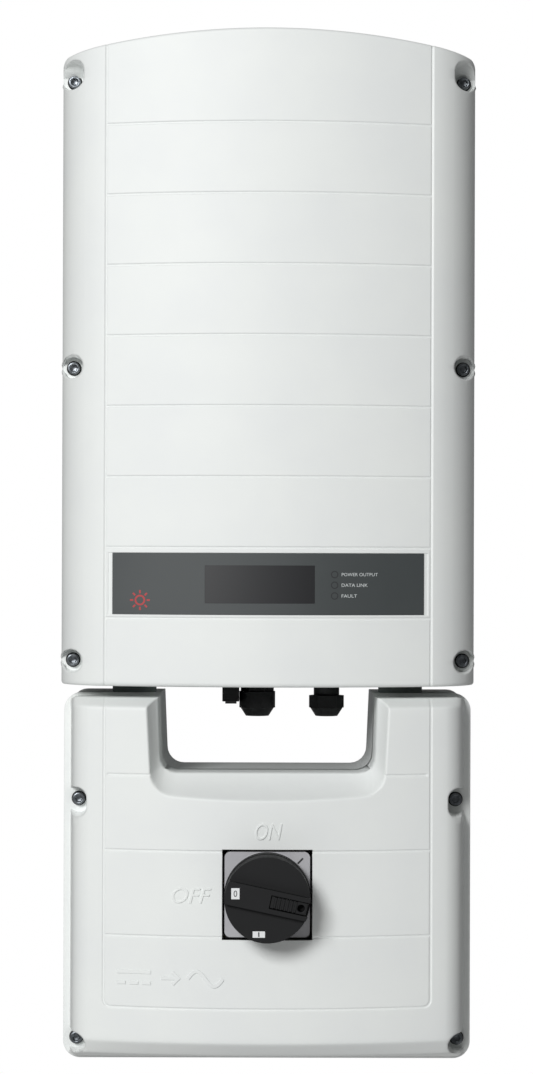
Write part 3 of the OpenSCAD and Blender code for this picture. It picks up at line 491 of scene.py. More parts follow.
# %% The inverter's cover as a sheet
def make_inverter_cover():
    """The whole cover: face, sides, arched top and foot edge, in one sheet of quads."""
    top_round, foot_round = 2.2, 3.4
    flat_half = 156.0  # past this the face is so steep that its lines are spaced by depth
    fine_columns = [(s * panel_half - 1.5, s * panel_half + 1.5, 0.3) for s in (-1, 1)]
    fine_columns += [(s * label_half - 0.4, s * label_half + 0.4, 0.2) for s in (-1, 1)]
    fine_columns += [(min(s * 138.5, s * 156), max(s * 138.5, s * flat_half), 0.6) for s in (-1, 1)]
    fine_columns += [(w - 0.4, w + 0.4, 0.4) for w in window_across]
    turned = [side_middle + math.sqrt(side_radius ** 2 - (d - rim_out) ** 2)
              for d in (130, 127, seat_out, 121.5, 119.3, 118.2)]
    x_line = graded(-flat_half, flat_half, 6.0, fine_columns)
    turned = [t for t in turned if t > flat_half + 0.05]
    x_line = np.concatenate([[-body_half] * 4, [-t for t in turned[::-1]], x_line,
                             turned, [body_half] * 4])
    x_wall = np.ones(len(x_line))
    x_wall[:4] = (0, 0.34, 0.67, 1)
    x_wall[-4:] = (1, 0.67, 0.34, 0)

    blend_from = 735.0
    fine_rows = [(g - 1.5, g + 1.5, 0.3) for g in level_grooves]
    fine_rows += [(edge - 0.4, edge + 0.4, 0.2) for edge in (label_low, label_high)]
    fine_rows += [(z - 10, z + 10, 0.65) for x, z in inverter_screws if z < 700]
    fine_rows += [(733.5, 762.5, 0.75), (762.5, unit_top, 1.0)]
    fine_rows += [(unit_foot, unit_foot + foot_round, 0.45), (window_up[0] - 0.4, window_up[0] + 0.4, 0.4),
                  (window_up[1] - 0.4, window_up[1] + 0.4, 0.4)]
    v_line = graded(unit_foot, unit_top, 7.0, fine_rows)
    v_line = np.concatenate([[unit_foot] * 4, v_line, [unit_top] * 4])
    v_wall = np.ones(len(v_line))
    v_wall[:4] = (0, 0.34, 0.67, 1)
    v_wall[-4:] = (1, 0.67, 0.34, 0)

    across, v = np.meshgrid(x_line, v_line)
    wall = np.minimum(*np.meshgrid(x_wall, v_wall))
    arch_lift = arch_up(across) - unit_top
    up = np.where(v <= blend_from, v, v + arch_lift * (v - blend_from) / (unit_top - blend_from))

    # round the four corners of the outline
    for at_top in (False, True):
        corner = 6.0 if at_top else 3.0
        inset_z = arch_up(across) - up if at_top else up - unit_foot
        inset_x = body_half - np.abs(across)
        ring = np.minimum(inset_x, inset_z)
        radius = np.maximum(corner - ring, 0)
        offset = np.abs(inset_x - inset_z)
        leg_in, leg_along = onto_arc(offset, radius)
        near = (ring < corner) & (offset < radius)
        new_x = np.where(inset_x <= inset_z, ring + leg_in, ring + leg_along)
        new_z = np.where(inset_x <= inset_z, ring + leg_along, ring + leg_in)
        level = arch_up(across) if at_top else unit_foot
        across = np.where(near, np.sign(across) * (body_half - new_x), across)
        up = np.where(near, level - new_z if at_top else level + new_z, up)

    across, up = draw_to_rim(across, up, inverter_hollows, rim_step)
    out = front_out(across)
    for g in level_grooves:
        between = np.clip((panel_half - np.abs(across)) / 0.5 + 1, 0, 1)
        out = out - between * groove(up - g, groove_wide, groove_deep)
    upright = groove(np.abs(across) - panel_half, groove_wide, groove_deep)
    out = np.minimum(out, front_out(across) - upright)
    in_label = ((np.abs(across) < label_half + 0.05) & (up > label_low - 0.05) & (up < label_high + 0.05))
    out = np.where(in_label, np.minimum(out, front_out(across) - groove_deep), out)
    edge_top, edge_foot = arch_up(across) - up, up - unit_foot
    out = out - quarter_round(edge_top, top_round) - quarter_round(edge_foot, foot_round)
    out = np.maximum(out, rim_out)
    out = sink_hollows(across, out, up, inverter_hollows)
    out = rim_out + (out - rim_out) * wall

    keep = np.ones((len(v_line) - 1, len(x_line) - 1), bool)
    mid_x = (x_line[1:] + x_line[:-1]) / 2
    mid_v = (v_line[1:] + v_line[:-1]) / 2
    keep[np.ix_((mid_v > window_up[0] + 2) & (mid_v < window_up[1] - 2),
                (mid_x > window_across[0] + 2) & (mid_x < window_across[1] - 2))] = False
    verts = place(across, out, up).reshape(-1, 3)
    faces = grid_faces(len(v_line), len(x_line), keep)
    piece = make_piece("cover_of_inverter", verts, faces, "housing", cover_paint, "cover_white",
                       ["inverter_cover"], weld=2e-5)
    thicken(piece, cover_wall)
    return piece


inverter_cover = make_inverter_cover()
print("inverter cover:", len(inverter_cover.data.polygons), "quads before its wall")

# %% [markdown]
# ## The switch box's cover
#
# The lower cover has a flange all round, a drafted side, a tighter edge between side and front, and
# a front that leans back at the foot and on top of the two ears. A u-shaped notch opens its top, with
# a dished slope round it and a straight channel behind. The same sheet method serves: rings around
# the notch are bent into its round corners, and the slope is the lower of two surfaces.

# %% Curves of the switch box's cover
box_radius = 490.0
box_edge_radius = 22.0
box_edge_turn = math.radians(15.5)
box_edge_middle = (box_radius - box_edge_radius) * math.sin(box_edge_turn)
box_edge_out = crown_out - box_radius + (box_radius - box_edge_radius) * math.cos(box_edge_turn)
draft = math.radians(7)
draft_start = box_edge_middle + box_edge_radius * math.cos(draft)
draft_start_out = box_edge_out + box_edge_radius * math.sin(draft)
draft_end = draft_start + (draft_start_out - seat_out) * math.tan(draft)
notch_half, notch_floor, notch_corner = 80.5, 219.7, 12.0
mouth_half, mouth_floor, mouth_corner = 89.0, 201.0, 17.0
channel_out = crown_out - 24.0
# cast walls have draft: the notch widens to the front and towards its open top
channel_draft = 4.0 * (channel_out - rim_out) / channel_out
notch_draft, mouth_draft = 2.0, 5.0
box_corner = 13.0
ear_margin = 2.5
switch_up, opening_half = 131.5, 33.5
box_level_grooves = [99.7, 163.2]
box_foot_groove, box_groove_bend = 46.4, 5.5
ear_groove = 219.4
foot_edge, foot_face = 9.2, 20.8
ear_lean, foot_lean = 24.0 / (crown_out - seat_out), 14.0 / (crown_out - seat_out)


def box_out(across):
    """The switch box's face, seen from above."""
    a = np.abs(across)
    wide = crown_out - box_radius + np.sqrt(box_radius ** 2 - np.minimum(a, 200) ** 2)
    edge = box_edge_out + np.sqrt(np.maximum(box_edge_radius ** 2 - (a - box_edge_middle) ** 2, 0))
    side = draft_start_out - (a - draft_start) / math.tan(draft)
    out = np.where(a < box_radius * math.sin(box_edge_turn), wide, edge)
    out = np.where(a > draft_start, side, out)
    return np.maximum(out, seat_out)


def lean(up):
    """Share of the face's height that is lost where it leans back, on the ears and at the foot."""
    def soft(t):
        return (t + np.sqrt(t ** 2 + 0.012)) / 2

    top = ear_lean * soft((up - (box_top - 8)) / 8)
    foot = foot_lean * soft((foot_face - up) / (foot_face - foot_edge))
    under = (1 - 2 * foot_lean) * soft((foot_edge - up) / (foot_edge - 2))
    return np.minimum(top + foot + under, 1.0)


def box_face(across, up):
    """The switch box's face before grooves and the notch."""
    return seat_out + (box_out(across) - seat_out) * (1 - lean(up))


def notch_surface(ring):
    """Channel (ring -1 to 0) and dished slope (ring 0 to 1) of the notch."""
    dished = ring + 0.4 * ring * (ring - 1)
    return np.where(ring < 0, rim_out + (channel_out - rim_out) * (1 + ring),
                    channel_out + (crown_out - channel_out) * dished)


def soft_lower(a, b, radius):
    """The lower of two heights with a rounded meeting."""
    near = np.maximum(radius - np.abs(a - b), 0) / radius
    return np.minimum(a, b) - near ** 2 * radius / 4


box_screws = [(s * x, z) for s in (-1, 1) for x, z in ((144.7, 16.0), (143.5, 197.6))]
box_hollows = [{"across": x, "up": z - (3.0 if z > 100 else 0.0), "rise": 6.0 if z > 100 else 0.0,
                "radius": 8.2 if z > 100 else hollow_radius, "floor": seat_out, "slope": 0.0,
                "roll": hollow_roll}
               for x, z in box_screws]
print(f"face {box_out(np.array(0.0)):.0f} to {box_out(np.array(130.0)):.1f} mm out,",
      f"side ends at {draft_end:.1f}")

# %% The switch box's cover as a sheet
def make_box_cover():
    """Flange, drafted side, leaning face, notch and grooves in one sheet of quads."""
    flange_inset = 2.0
    fine = [(min(s * a, s * b), max(s * a, s * b), step) for s in (-1, 1)
            for a, b, step in ((134, 146.5, 0.6), (146.5, 150.2, 0.35), (150.2, box_half, 0.8),
                               (115, 120.4, 0.6), (120.4, 123.6, 0.3), (notch_half, 93, 0.65),
                               (opening_half - 0.8, opening_half + 0.8, 0.4))]
    line = graded(-box_half, box_half, 6.0, fine)
    x_line, x_ring, x_lift = [], [], []
    for x in line:
        a = abs(x)
        at_edge, at_notch = abs(a - box_half) < 1e-6, abs(a - notch_half) < 1e-6
        ring = (a - notch_half) / (mouth_half - notch_half) if a > notch_half else -2.0
        if at_edge:
            rows = [(0, ring), (1, ring)] if x < 0 else [(1, ring), (0, ring)]
        elif at_notch:
            rows = [(2, r) for r in (0, -0.33, -0.66, -1)]
            rows = rows if x < 0 else rows[::-1]
        else:
            rows = [(2, ring)]
        for lift, r in rows:
            x_line.append(x)
            x_lift.append(lift if a > draft_end else 2)
            x_ring.append(r)
    fine = [(flange_inset, 26.5, 0.55), (44.5, 53, 0.4), (186, 208, 0.65), (208, 222, 0.45),
            (264, 272, 0.8), (272, box_top, 0.6)]
    fine += [(g - 1.5, g + 1.5, 0.3) for g in box_level_grooves]
    fine += [(switch_up + s * opening_half - 0.6, switch_up + s * opening_half + 0.6, 0.3) for s in (-1, 1)]
    z_line, z_ring, z_lift = [0.0, 0.0], [9.0, 9.0], [0, 1]

    def low_ring(z):
        return (notch_floor - z) / (notch_floor - mouth_floor)

    for lift in (1, 1.25, 1.6):
        z_line.append(flange_inset)
        z_ring.append(low_ring(flange_inset))
        z_lift.append(lift)
    for z in graded(flange_inset, notch_floor, 6.0, fine):
        z_line.append(z)
        z_ring.append(low_ring(z))
        z_lift.append(2)
    for ring in (-0.33, -0.66, -1):
        z_line.append(notch_floor)
        z_ring.append(ring)
        z_lift.append(2)
    for z in graded(notch_floor, box_top - flange_inset, 6.0, fine)[1:]:
        z_line.append(z)
        z_ring.append(-2.0)
        z_lift.append(2)
    for z, lift in ((box_top - flange_inset, 1.6), (box_top - flange_inset, 1.25),
                    (box_top - flange_inset, 1), (box_top, 1), (box_top, 0)):
        z_line.append(z)
        z_ring.append(-2.0)
        z_lift.append(lift)

    across, up = np.meshgrid(x_line, z_line)
    ring_x, ring_z = np.meshgrid(x_ring, z_ring)
    lift = np.minimum(*np.meshgrid(x_lift, z_lift))
    ring = np.maximum(ring_x, ring_z)

    # rings round the notch bend into its round bottom corners
    half = np.abs(across)
    fade = 20.0
    reach, depth_in = np.clip(ring, 0, 1), np.clip(ring, -1, 0)
    beyond_x = np.clip((half - mouth_half) / fade, 0, 1)
    beyond_z = np.clip((mouth_floor - up) / fade, 0, 1)
    beyond = np.maximum(beyond_x, beyond_z)
    on_side = np.where(beyond > 0, beyond_x >= beyond_z, ring_x >= ring_z)
    radius = (notch_corner + (mouth_corner - notch_corner) * reach) * (1 - beyond)
    ring_half = np.where(beyond > 0, mouth_half + fade * beyond,
                         notch_half + (mouth_half - notch_half) * reach + channel_draft * depth_in)
    ring_floor = np.where(beyond > 0, mouth_floor - fade * beyond,
                          notch_floor - (notch_floor - mouth_floor) * reach)
    offset = np.where(on_side, up - ring_floor, ring_half - half)
    bent = (offset < radius) & (offset > -1e-6) & (ring > -1.5)
    leg_in, leg_along = onto_arc(offset, radius)
    new_half = np.where(on_side, ring_half - leg_in, ring_half - leg_along)
    new_up = np.where(on_side, ring_floor + leg_along, ring_floor + leg_in)
    in_wall = (ring < 0) & (ring > -1.5) & on_side
    half = np.where(bent, new_half, np.where(in_wall, ring_half, half))
    up = np.where(bent, new_up, up)
    widen = (notch_draft + (mouth_draft - notch_draft) * reach) * (1 - beyond)
    widen = widen * np.clip((up - ring_floor) / (box_top + 1 - ring_floor), 0, 1)
    half = np.where(ring > -1.5, half + widen, half)
    across = np.sign(across) * half

    # the four corners of the outline
    inset_x, inset_z = box_half - np.abs(across), np.minimum(up, box_top - up)
    edge_ring = np.minimum(inset_x, inset_z)
    radius = np.maximum(box_corner - edge_ring, 0)
    offset = np.abs(inset_x - inset_z)
    leg_in, leg_along = onto_arc(offset, radius)
    near = (edge_ring < box_corner) & (offset < radius)
    side_leg = inset_x <= inset_z
    new_x = np.where(side_leg, edge_ring + leg_in, edge_ring + leg_along)
    new_z = np.where(side_leg, edge_ring + leg_along, edge_ring + leg_in)
    across = np.where(near, np.sign(across) * (box_half - new_x), across)
    up = np.where(near, np.where(up < box_top / 2, new_z, box_top - new_z), up)

    across, up = draw_to_rim(across, up, box_hollows, rim_step)
    a = np.abs(across)
    face = box_face(across, up)
    between = np.clip((panel_half - a) / 0.5 + 1, 0, 1)
    cut = np.zeros_like(face)
    for g in box_level_grooves:
        cut = np.maximum(cut, between * groove(up - g, groove_wide, groove_deep))
    reach_in = np.clip((a - mouth_half + 2) / 0.5, 0, 1)
    reach_in = reach_in * np.clip((panel_half - ear_margin - a) / 0.5, 0, 1)
    cut = np.maximum(cut, reach_in * groove(up - ear_groove, groove_wide, groove_deep))
    # the foot groove turns into the two upright ones on a small bend
    side, drop = a - (panel_half - box_groove_bend), box_foot_groove + box_groove_bend - up
    path = (np.hypot(np.maximum(side, 0), np.maximum(drop, 0))
            + np.minimum(np.maximum(side, drop), 0) - box_groove_bend)
    cut = np.maximum(cut, groove(path, groove_wide, groove_deep))
    face = face - cut
    out = soft_lower(face, notch_surface(ring), 1.6)
    out = np.where(ring < 0, notch_surface(ring), out)
    out = sink_hollows(across, out, up, box_hollows)
    lifted = np.where(lift <= 1, rim_out + (seat_out - rim_out) * lift,
                      seat_out + (out - seat_out) * (lift - 1))
    out = np.minimum(out, lifted)

    corner = [ring[:-1, :-1], ring[1:, :-1], ring[:-1, 1:], ring[1:, 1:]]
    keep = np.minimum.reduce(corner) >= -1.01
    z_mid = (np.array(z_line)[1:] + np.array(z_line)[:-1]) / 2
    x_mid = (np.array(x_line)[1:] + np.array(x_line)[:-1]) / 2
    keep[np.ix_(np.abs(z_mid - switch_up) < opening_half - 0.01, np.abs(x_mid) < opening_half - 0.01)] = False
    verts = place(across, out, up).reshape(-1, 3)
    faces = grid_faces(len(z_line), len(x_line), keep)
    piece = make_piece("cover_of_switch_box", verts, faces, "housing", cover_paint, "cover_white",
                       ["switch_box_cover"], weld=2e-5)
    thicken(piece, cover_wall)
    return piece


box_cover = make_box_cover()
print("switch box cover:", len(box_cover.data.polygons), "quads before its wall")

# %% [markdown]
# ## Raised marks on the switch box
#
# The cover's mould has shallow letters and a symbol cut into it, so they stand 0.8 mm proud in the
# same paint. Letters start as a font outline that is made into a mesh, slanted, sized and laid on the
# curved face. The symbol is the usual one for direct to alternating current, drawn with a stroke tool.

# %% Letters laid on a curved face
mark_proud = 0.8


def lettering(name, words, across, up, width, height, surface, proud, material, slant=0.0,
              body="housing", slot="cover_white"):
    """Words as a mesh on a face; surface gives the face's distance out at (across, up)."""
    outline = bpy.data.curves.new(name, "FONT")
    outline.body = words
    outline.extrude = 0.1
    outline.resolution_u = 4
    stencil = bpy.data.objects.new(name + "_outline", outline)
    bpy.context.scene.collection.objects.link(stencil)
    graph = bpy.context.evaluated_depsgraph_get()
    mesh = bpy.data.meshes.new_from_object(stencil.evaluated_get(graph))
    bpy.data.objects.remove(stencil)
    spots = np.array([v.co[:] for v in mesh.vertices])
    faces = [tuple(f.vertices) for f in mesh.polygons]
    spots[:, 0] += slant * spots[:, 1]
    low, high = spots.min(axis=0), spots.max(axis=0)
    u, v = ((spots[:, k] - low[k]) / (high[k] - low[k]) - 0.5 for k in (0, 1))
    x, z = across + u * width, up + v * height
    out = surface(x, z) + np.where(spots[:, 2] > 0, proud, -0.3)
    return make_piece(name, place(x, out, z), faces, body, material, slot, smooth=False, weld=1e-7)


def strokes(name, paths, line_width, surface, proud, material, body="housing", slot="cover_white"):
    """Raised strips of one width along paths of (across, up) points, laid on a face."""
    parts = []
    for path in paths:
        path = np.array(path, float)
        ahead = np.gradient(path, axis=0)
        ahead /= np.linalg.norm(ahead, axis=1)[:, None]
        aside = np.stack([-ahead[:, 1], ahead[:, 0]], axis=1) * line_width / 2
        left, right = path + aside, path - aside
        rows = [(left, -0.3), (left, proud), (right, proud), (right, -0.3)]
        verts = np.concatenate([place(p[:, 0], surface(p[:, 0], p[:, 1]) + h, p[:, 1]) for p, h in rows])
        n = len(path)
        faces = [(r * n + k, r * n + k + 1, (r + 1) % 4 * n + k + 1, (r + 1) % 4 * n + k)
                 for r in range(4) for k in range(n - 1)]
        faces += [(0, n, 2 * n, 3 * n), (4 * n - 1, 3 * n - 1, 2 * n - 1, n - 1)]
        parts.append((verts, faces))
    verts, faces = gather(parts)
    return make_piece(name, verts, faces, body, material, slot, smooth=False, weld=1e-7)


def plain_box_face(across, up):
    """The switch box's face as a landing for marks."""
    return box_face(np.asarray(across, float), np.asarray(up, float))


mark_on = lettering("raised_on", "ON", 1.0, 178.3, 20.0, 12.2, plain_box_face, mark_proud,
                    cover_paint, 0.25)
mark_off = lettering("raised_off", "OFF", -56.2, 130.6, 29.5, 11.5, plain_box_face, mark_proud,
                     cover_paint, 0.25)
for mark in (mark_on, mark_off):
    soften(mark, 0.25, angle=50)
print("letters:", len(mark_on.data.polygons) + len(mark_off.data.polygons), "faces")

# %% The current symbol
def symbol_paths(across, up):
    """Direct current, an arrow, and alternating current, side by side."""
    wave_x = np.linspace(0, 26, 27)
    wave = np.stack([across + 13 + wave_x, up + 5.5 * np.sin(wave_x / 26 * 2 * math.pi)], axis=1)
    dashes = [[(across - 40 + 9.5 * k, up - 4), (across - 33.5 + 9.5 * k, up - 4)] for k in range(3)]
    return [[(across - 40, up + 4), (across - 14.5, up + 4)], *dashes,
            [(across - 7, up), (across + 6, up)],
            [(across + 1.5, up + 4.5), (across + 6.5, up), (across + 1.5, up - 4.5)], wave]


symbol = strokes("raised_current_symbol", symbol_paths(-71.8, 69.0), 2.6, plain_box_face, mark_proud,
                 cover_paint)
soften(symbol, 0.25, angle=50)
print("symbol:", len(symbol.data.polygons), "faces")

# %% [markdown]
# ## The label
#
# The display label is a printed polyester film, laid in a pocket of the cover so that its edge can't
# lift. It is drawn as two pieces of one curved sheet: the film with a hole and the smoked window in the
# hole. Its prints are flat strokes and letters a hair above the film.

# %% Film and window
def curved_sheet(name, across_range, up_range, level, wall_mm, material, slot, replaces=(), hole=None):
    """A piece of the inverter's curved front between limits, level mm above or below it."""
    spans = [(hole[0][0] - 0.01, hole[0][0], 1), (hole[0][1], hole[0][1] + 0.01, 1)] if hole else []
    x = graded(*across_range, 3.0, spans)
    spans = [(hole[1][0] - 0.01, hole[1][0], 1), (hole[1][1], hole[1][1] + 0.01, 1)] if hole else []
    z = graded(*up_range, 8.0, spans)
    keep = None
    if hole:
        keep = np.ones((len(z) - 1, len(x) - 1), bool)
        mid_x, mid_z = (x[1:] + x[:-1]) / 2, (z[1:] + z[:-1]) / 2
        keep[np.ix_((mid_z > hole[1][0]) & (mid_z < hole[1][1]),
                    (mid_x > hole[0][0]) & (mid_x < hole[0][1]))] = False
    across, up = np.meshgrid(x, z)
    verts = place(across, front_out(across) + level, up).reshape(-1, 3)
    piece = make_piece(name, verts, grid_faces(len(z), len(x), keep), "housing", material, slot, replaces)
    thicken(piece, wall_mm)
    return soften(piece, 0.12)


film_level = 0.7 - groove_deep
film_up = (label_low + 0.1, label_high - 0.1)
film = curved_sheet("label_film", (-116.4, 116.4), film_up, film_level, 0.6, label_film, "label_film",
                    ["label_overlay"], hole=(window_across, window_up))
window = curved_sheet("display_window", window_across, window_up, film_level - 0.15, 1.5, smoked_window,
                      "window_dark", ["lcd_window"])
print("film:", len(film.data.polygons), "quads; window:", len(window.data.polygons), "quads")

# %% Prints on the label
def film_face(across, up):
    """The film's surface as a landing for prints."""
    return front_out(np.asarray(across, float)) + film_level + 0.0 * np.asarray(up, float)


def sun_paths(across, up, size):
    """A small generic sun: a ring and eight rays."""
    turn = np.linspace(0, 2 * math.pi, 25)
    ring = np.stack([across + size * 0.28 * np.cos(turn), up + size * 0.28 * np.sin(turn)], axis=1)
    rays = [[(across + size * r * math.cos(a), up + size * r * math.sin(a)) for r in (0.42, 0.62)]
            for a in np.linspace(0, 2 * math.pi, 9)[:-1]]
    return [ring, *rays]


strokes("print_sun", sun_paths(-95.5, 349.5, 12.0), 1.3, film_face, 0.05, ink_red, slot="label_film")
word_left = 54.5
for word, up, width in (("POWER OUTPUT", 369.0, 27.0), ("DATA LINK", 361.1, 19.5), ("FAULT", 353.1, 11.5)):
    lettering("print_" + word.split()[0].lower(), word, word_left + width / 2, up, width, 2.4,
              film_face, 0.05, ink_light, slot="label_film")
lamp_ring = 2.4
turn = np.linspace(0, 2 * math.pi, 21)
rings = [np.stack([lamp_across + lamp_ring * np.cos(turn), up + lamp_ring * np.sin(turn)], axis=1)
         for up in lamp_ups]
strokes("print_lamp_rings", rings, 0.7, film_face, 0.05, ink_dark, slot="label_film")
print("prints: a sun, three words and", len(rings), "lamp rings")

# %% [markdown]
# ## Marks of the switch
#
# Two small white pads on the knob carry its position marks, 0 on the grip's left end and I at the foot
# of the disc, and a black tick on the plate shows where the grip points when the switch is on. Pads on
# the knob ride with it.

# %% Pads on the knob, tick on the plate
knob_low, knob_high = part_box("rotary_knob")
knob_radius = (knob_high.x - knob_low.x) / 2 / MM
grip_out = -knob_low.y / MM
grip_high = 5.5
disc_out = grip_out - grip_high
plate_out = -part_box("switch_plate")[0].y / MM
grip_slope = math.radians(12)


def knob_spot(along, aside):
    """A place on the knob, along its grip to the right and aside from it, as (across, up)."""
    return (along * math.cos(grip_slope) + aside * math.sin(grip_slope),
            switch_up - along * math.sin(grip_slope) + aside * math.cos(grip_slope))


def flat_face(level):
    """A flat landing for marks at one distance out."""
    return lambda across, up: np.full(np.shape(across), float(level))


def knob_bar(along, aside, long, high):
    """A level stroke centred on a place of the knob, and its width."""
    x, z = knob_spot(along, aside)
    return [(x - long / 2, z), (x, z), (x + long / 2, z)], high


pad, pad_high = knob_bar(-24.0, 0.6, 6.0, 8.0)
strokes("knob_pad_off", [pad], pad_high, flat_face(grip_out), 0.1, ink_white, body="switch_knob",
        slot="knob_black")
lettering("knob_mark_off", "0", pad[1][0], pad[1][1], 2.6, 4.6, flat_face(grip_out), 0.2, ink_dark,
          body="switch_knob", slot="knob_black")
pad, pad_high = knob_bar(-0.9, -25.6, 9.0, 4.6)
strokes("knob_pad_on", [pad], pad_high, flat_face(disc_out), 0.1, ink_white, body="switch_knob",
        slot="knob_black")
lettering("knob_mark_on", "I", pad[1][0], pad[1][1], 0.9, 3.4, flat_face(disc_out), 0.2, ink_dark,
          body="switch_knob", slot="knob_black")
tick = [(along, switch_up + along + 0.5) for along in (22.5, 23.5, 26.5)]
strokes("plate_tick", [tick], 1.3, flat_face(plate_out - 1.0), 0.15, ink_dark,
        slot="plate_grey")
print(f"knob radius {knob_radius:.1f} mm, grip face {grip_out:.1f} mm out")

# %% [markdown]
# ## Screws and their washers
#
# The covers are held by M5 socket-head screws with a six-sided recess, and the recess is what
# makes a screw read as a screw, so the head is turned from rings whose inner ones follow a hexagon.
# Bonded washers under the heads keep the housing tight.

# %% Socket heads and washers
shank_end, shank_radius = 104.0, 2.45
washer_high, washer_bore, washer_radius = 0.8, 2.75, 5.6


socket_steps = 36


def ring_stack(rings, steps=socket_steps):
    """Skins a stack of rings (radius or radii, distance out); a radius of 0 closes the stack."""
    turn = np.linspace(0, 2 * math.pi, steps, endpoint=False)
    verts = []
    for radius, out in rings:
        radii = np.broadcast_to(np.asarray(radius, float), steps)
        verts += list(zip(radii * np.cos(turn), np.full(steps, float(out)), radii * np.sin(turn)))
    faces = [f[::-1] for f in grid_faces(len(rings), steps, wrap=True)]
    return np.array(verts), faces


def hexagon(apothem, steps=socket_steps):
    """Radii of a six-sided socket."""
    turn = np.linspace(0, 2 * math.pi, steps, endpoint=False)
    return apothem / np.cos((turn % (math.pi / 3)) - math.pi / 6)


def make_screws(name, places, replaces):
    """Socket heads on their shanks."""
    base = seat_out + washer_high
    rings = [(0, shank_end), (shank_radius, shank_end), (shank_radius, base), (4.4, base),
             (4.6, base + 0.2), (4.6, base + 4.4), (4.45, base + 4.8),
             (4.1, base + 5.0), (3.0, base + 5.0), (hexagon(2.25), base + 4.5),
             (hexagon(2.15), base + 4.3), (hexagon(2.1), base + 1.8), (0, base + 1.2)]
    stack, faces = ring_stack(rings)
    parts = [(shift(stack, x, 0, z), faces) for x, z in places]
    piece = make_piece(name, *gather(parts), "housing", screw_steel, "screw_steel", replaces, weld=1e-7)
    return sharp_by_angle(piece, 38)


def make_washers(name, places, replaces):
    """Rubber washers with a rounded rim."""
    flat = washer_radius - 0.3
    rings = [(washer_bore, seat_out), (flat, seat_out), (washer_radius, seat_out + 0.2),
             (washer_radius, seat_out + washer_high - 0.2), (flat, seat_out + washer_high),
             (washer_bore, seat_out + washer_high), (washer_bore, seat_out)]
    stack, faces = ring_stack(rings)
    parts = [(shift(stack, x, 0, z), faces) for x, z in places]
    return make_piece(name, *gather(parts), "housing", seal_rubber, "seal_rubber", replaces, weld=1e-7)


make_screws("screws_of_inverter_cover", inverter_screws, ["inverter_cover_screws"])
make_screws("screws_of_switch_box", box_screws, ["switch_box_screws"])
make_washers("washers_of_inverter_cover", inverter_screws, ["inverter_screw_washers"])
make_washers("washers_of_switch_box", box_screws, ["switch_box_screw_washers"])
print(len(inverter_screws) + len(box_screws), "screws")

# %% [markdown]
# ## Parts that keep their designed shape
#
# Brackets, trays, boards and terminals already have the right shape. Each gets its finish and a fine
# bevel, because a real edge is never perfectly sharp and catches a thin line of light.

# %% Finishes and soft edges on the designed parts
finish_of = {
    "cast_grey": tray_paint, "sink_black": sink_aluminium, "seal_rubber": seal_rubber,
    "grommet_grey": grommet_rubber,
    "screw_steel": screw_steel, "label_film": label_film, "window_dark": smoked_window,
    "module_frame": frame_plastic, "lamp_lens": lamp_clear, "board_green": board_lacquer,
    "post_zinc": turned_zinc, "ribbon_grey": ribbon_vinyl, "cap_blue": sleeve_blue,
    "copper_coil": lacquered_copper, "device_black": frame_plastic, "relay_grey": relay_case,
    "terminal_green": terminal_green, "terminal_grey": terminal_grey, "gland_black": gland_nylon,
    "knob_black": knob_plastic, "plate_grey": plate_plastic, "mech_dark": switch_body,
    "deck_cream": deck_cream, "rotor_red": rotor_red, "brass_bar": milled_brass,
    "lead_red": lead_red, "lead_dark": lead_dark, "bracket_zinc": zinc_sheet,
    "cover_white": cover_paint,
}
slot_of = {part["node"]: part["material_slot"] for part in frame["record"]["subparts"]}
bevel_of = {"cast_grey": 0.8, "bracket_zinc": 0.4, "sink_black": 0.2, "gland_black": 0.5,
            "knob_black": 0.6, "plate_grey": 0.5, "terminal_green": 0.4, "terminal_grey": 0.4}


def finish_part(name, bevel_mm=0.25):
    """Gives a designed part its finish and soft edges, leaving its mesh as it is."""
    part = frame["nodes"][name]
    part.data.materials.clear()
    part.data.materials.append(finish_of[slot_of[name]])
    weld = part.modifiers.new("weld", "WELD")
    weld.merge_threshold = 1e-6
    soften(part, bevel_of.get(slot_of[name], bevel_mm), angle=30)


for name in sorted(frame["nodes"]):
    finish_part(name)
print("finished", len(frame["nodes"]), "designed parts")

# %% [markdown]
# ## Floor, light and camera
#
# The part hangs on a wall that isn't there, so it floats over a wide pale floor, as a product does in
# a studio with a light tent. One large soft lamp from the left gives form, the pale surroundings fill.

# %% Floor
def make_floor(radius_m=6.0, steps=64):
    """A pale round floor well below the part, with a faint grain."""
    material, tree, where = start_material("floor_paper")
    tone = mottle(tree, where, "#FBFBFB", "#FDFDFD", 300.0)
    end_material(tree, Base_Color=tone, Roughness=0.9)
    turn = np.linspace(0, 2 * math.pi, steps, endpoint=False)
    mesh = bpy.data.meshes.new("floor")
    ring = [(radius_m * math.cos(a), radius_m * math.sin(a), 0.0) for a in turn]
    mesh.from_pydata(ring, [], [tuple(range(steps))])
    floor = bpy.data.objects.new("floor", mesh)
    floor.location.z = foot_level - 1.6
    mesh.materials.append(material)
    bpy.context.scene.collection.objects.link(floor)
    return floor


floor = make_floor()
print("floor at", round(floor.location.z, 2), "m")

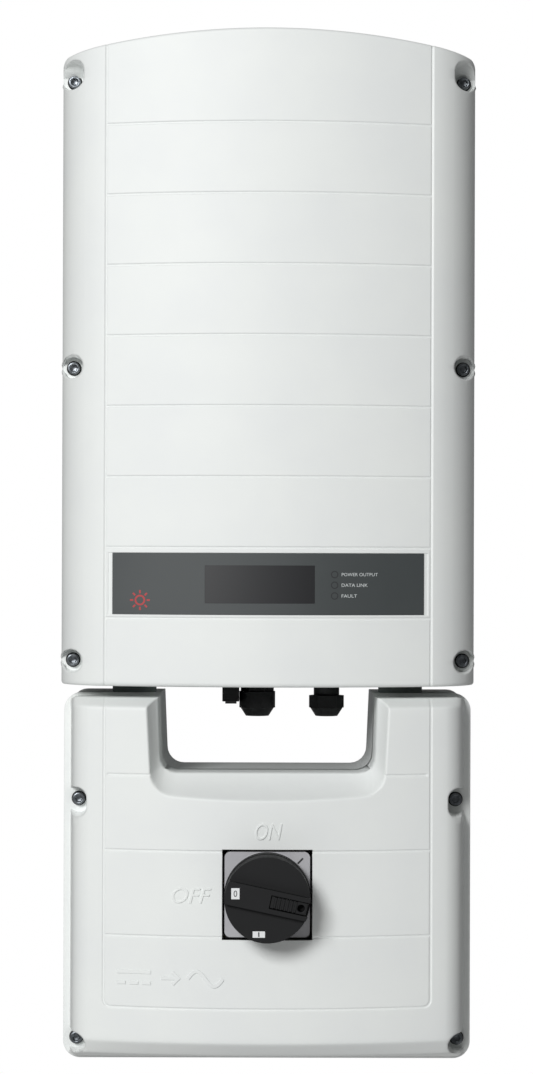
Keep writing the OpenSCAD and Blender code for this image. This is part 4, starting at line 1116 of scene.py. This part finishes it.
# %% Light
def make_world(seen, below, above):
    """A white tent: the eye sees its full white; the object is lit by a weaker one, dimmer below."""
    world = bpy.data.worlds.new("light_tent")
    bpy.context.scene.world = world
    world.use_nodes = True
    tree = world.node_tree
    tree.nodes.clear()
    path = add(tree, "ShaderNodeLightPath")
    where = add(tree, "ShaderNodeTexCoord")
    split = add(tree, "ShaderNodeSeparateXYZ", [(where.outputs["Generated"], "Vector")])
    rise = add(tree, "ShaderNodeMapRange", [(split.outputs["Z"], "Value")])
    for name, value in (("From Min", -0.4), ("From Max", 0.6), ("To Min", below), ("To Max", above)):
        rise.inputs[name].default_value = value
    near = add(tree, "ShaderNodeBackground", [(rise.outputs["Result"], "Strength")], Color=(1, 1, 1, 1))
    far = add(tree, "ShaderNodeBackground", Color=(1, 1, 1, 1), Strength=seen)
    mix = add(tree, "ShaderNodeMixShader", [(path.outputs["Is Camera Ray"], 0),
                                            (near.outputs[0], 1), (far.outputs[0], 2)])
    add(tree, "ShaderNodeOutputWorld", [(mix.outputs[0], "Surface")])


def make_lamp(name, where, size_m, watts, aim=(0, -0.1, -0.2)):
    """A square soft lamp aimed at the part."""
    light = bpy.data.lights.new(name, "AREA")
    light.size = size_m
    light.energy = watts
    lamp = bpy.data.objects.new(name, light)
    lamp.location = where
    lamp.rotation_euler = (Vector(aim) - Vector(where)).to_track_quat("-Z", "Y").to_euler()
    bpy.context.scene.collection.objects.link(lamp)
    return lamp


make_world(seen=1.0, below=0.05, above=0.24)
make_lamp("key_lamp", (-1.35, -3.6, 1.15), 1.2, 128.0)
bpy.context.scene.view_settings.view_transform = "Standard"
print("one lamp and a tent")

# %% Camera
def make_camera(where, lens_mm, yaw, pitch, roll):
    """A camera in front of the part; angles in degrees."""
    data = bpy.data.cameras.new("camera")
    data.sensor_width = 36.0
    data.lens = lens_mm
    camera = bpy.data.objects.new("camera", data)
    yaw, pitch, roll = (math.radians(v) for v in (yaw, pitch, roll))
    forward = Vector((-math.sin(yaw) * math.cos(pitch), math.cos(yaw) * math.cos(pitch), math.sin(pitch)))
    right = Vector((math.cos(yaw), math.sin(yaw), 0))
    upward = right.cross(forward)
    across = math.cos(roll) * right + math.sin(roll) * upward
    upward = math.cos(roll) * upward - math.sin(roll) * right
    matrix = np.eye(4)
    matrix[:3, 0], matrix[:3, 1], matrix[:3, 2] = across, upward, -forward
    matrix[:3, 3] = where
    camera.matrix_world = Matrix(matrix.tolist())
    bpy.context.scene.collection.objects.link(camera)
    bpy.context.scene.camera = camera
    return camera


camera = make_camera((-0.0092, -2.1884, -0.2519), 90.68, -0.223, 0.246, 0.182)
print("camera", [round(v, 3) for v in camera.location])
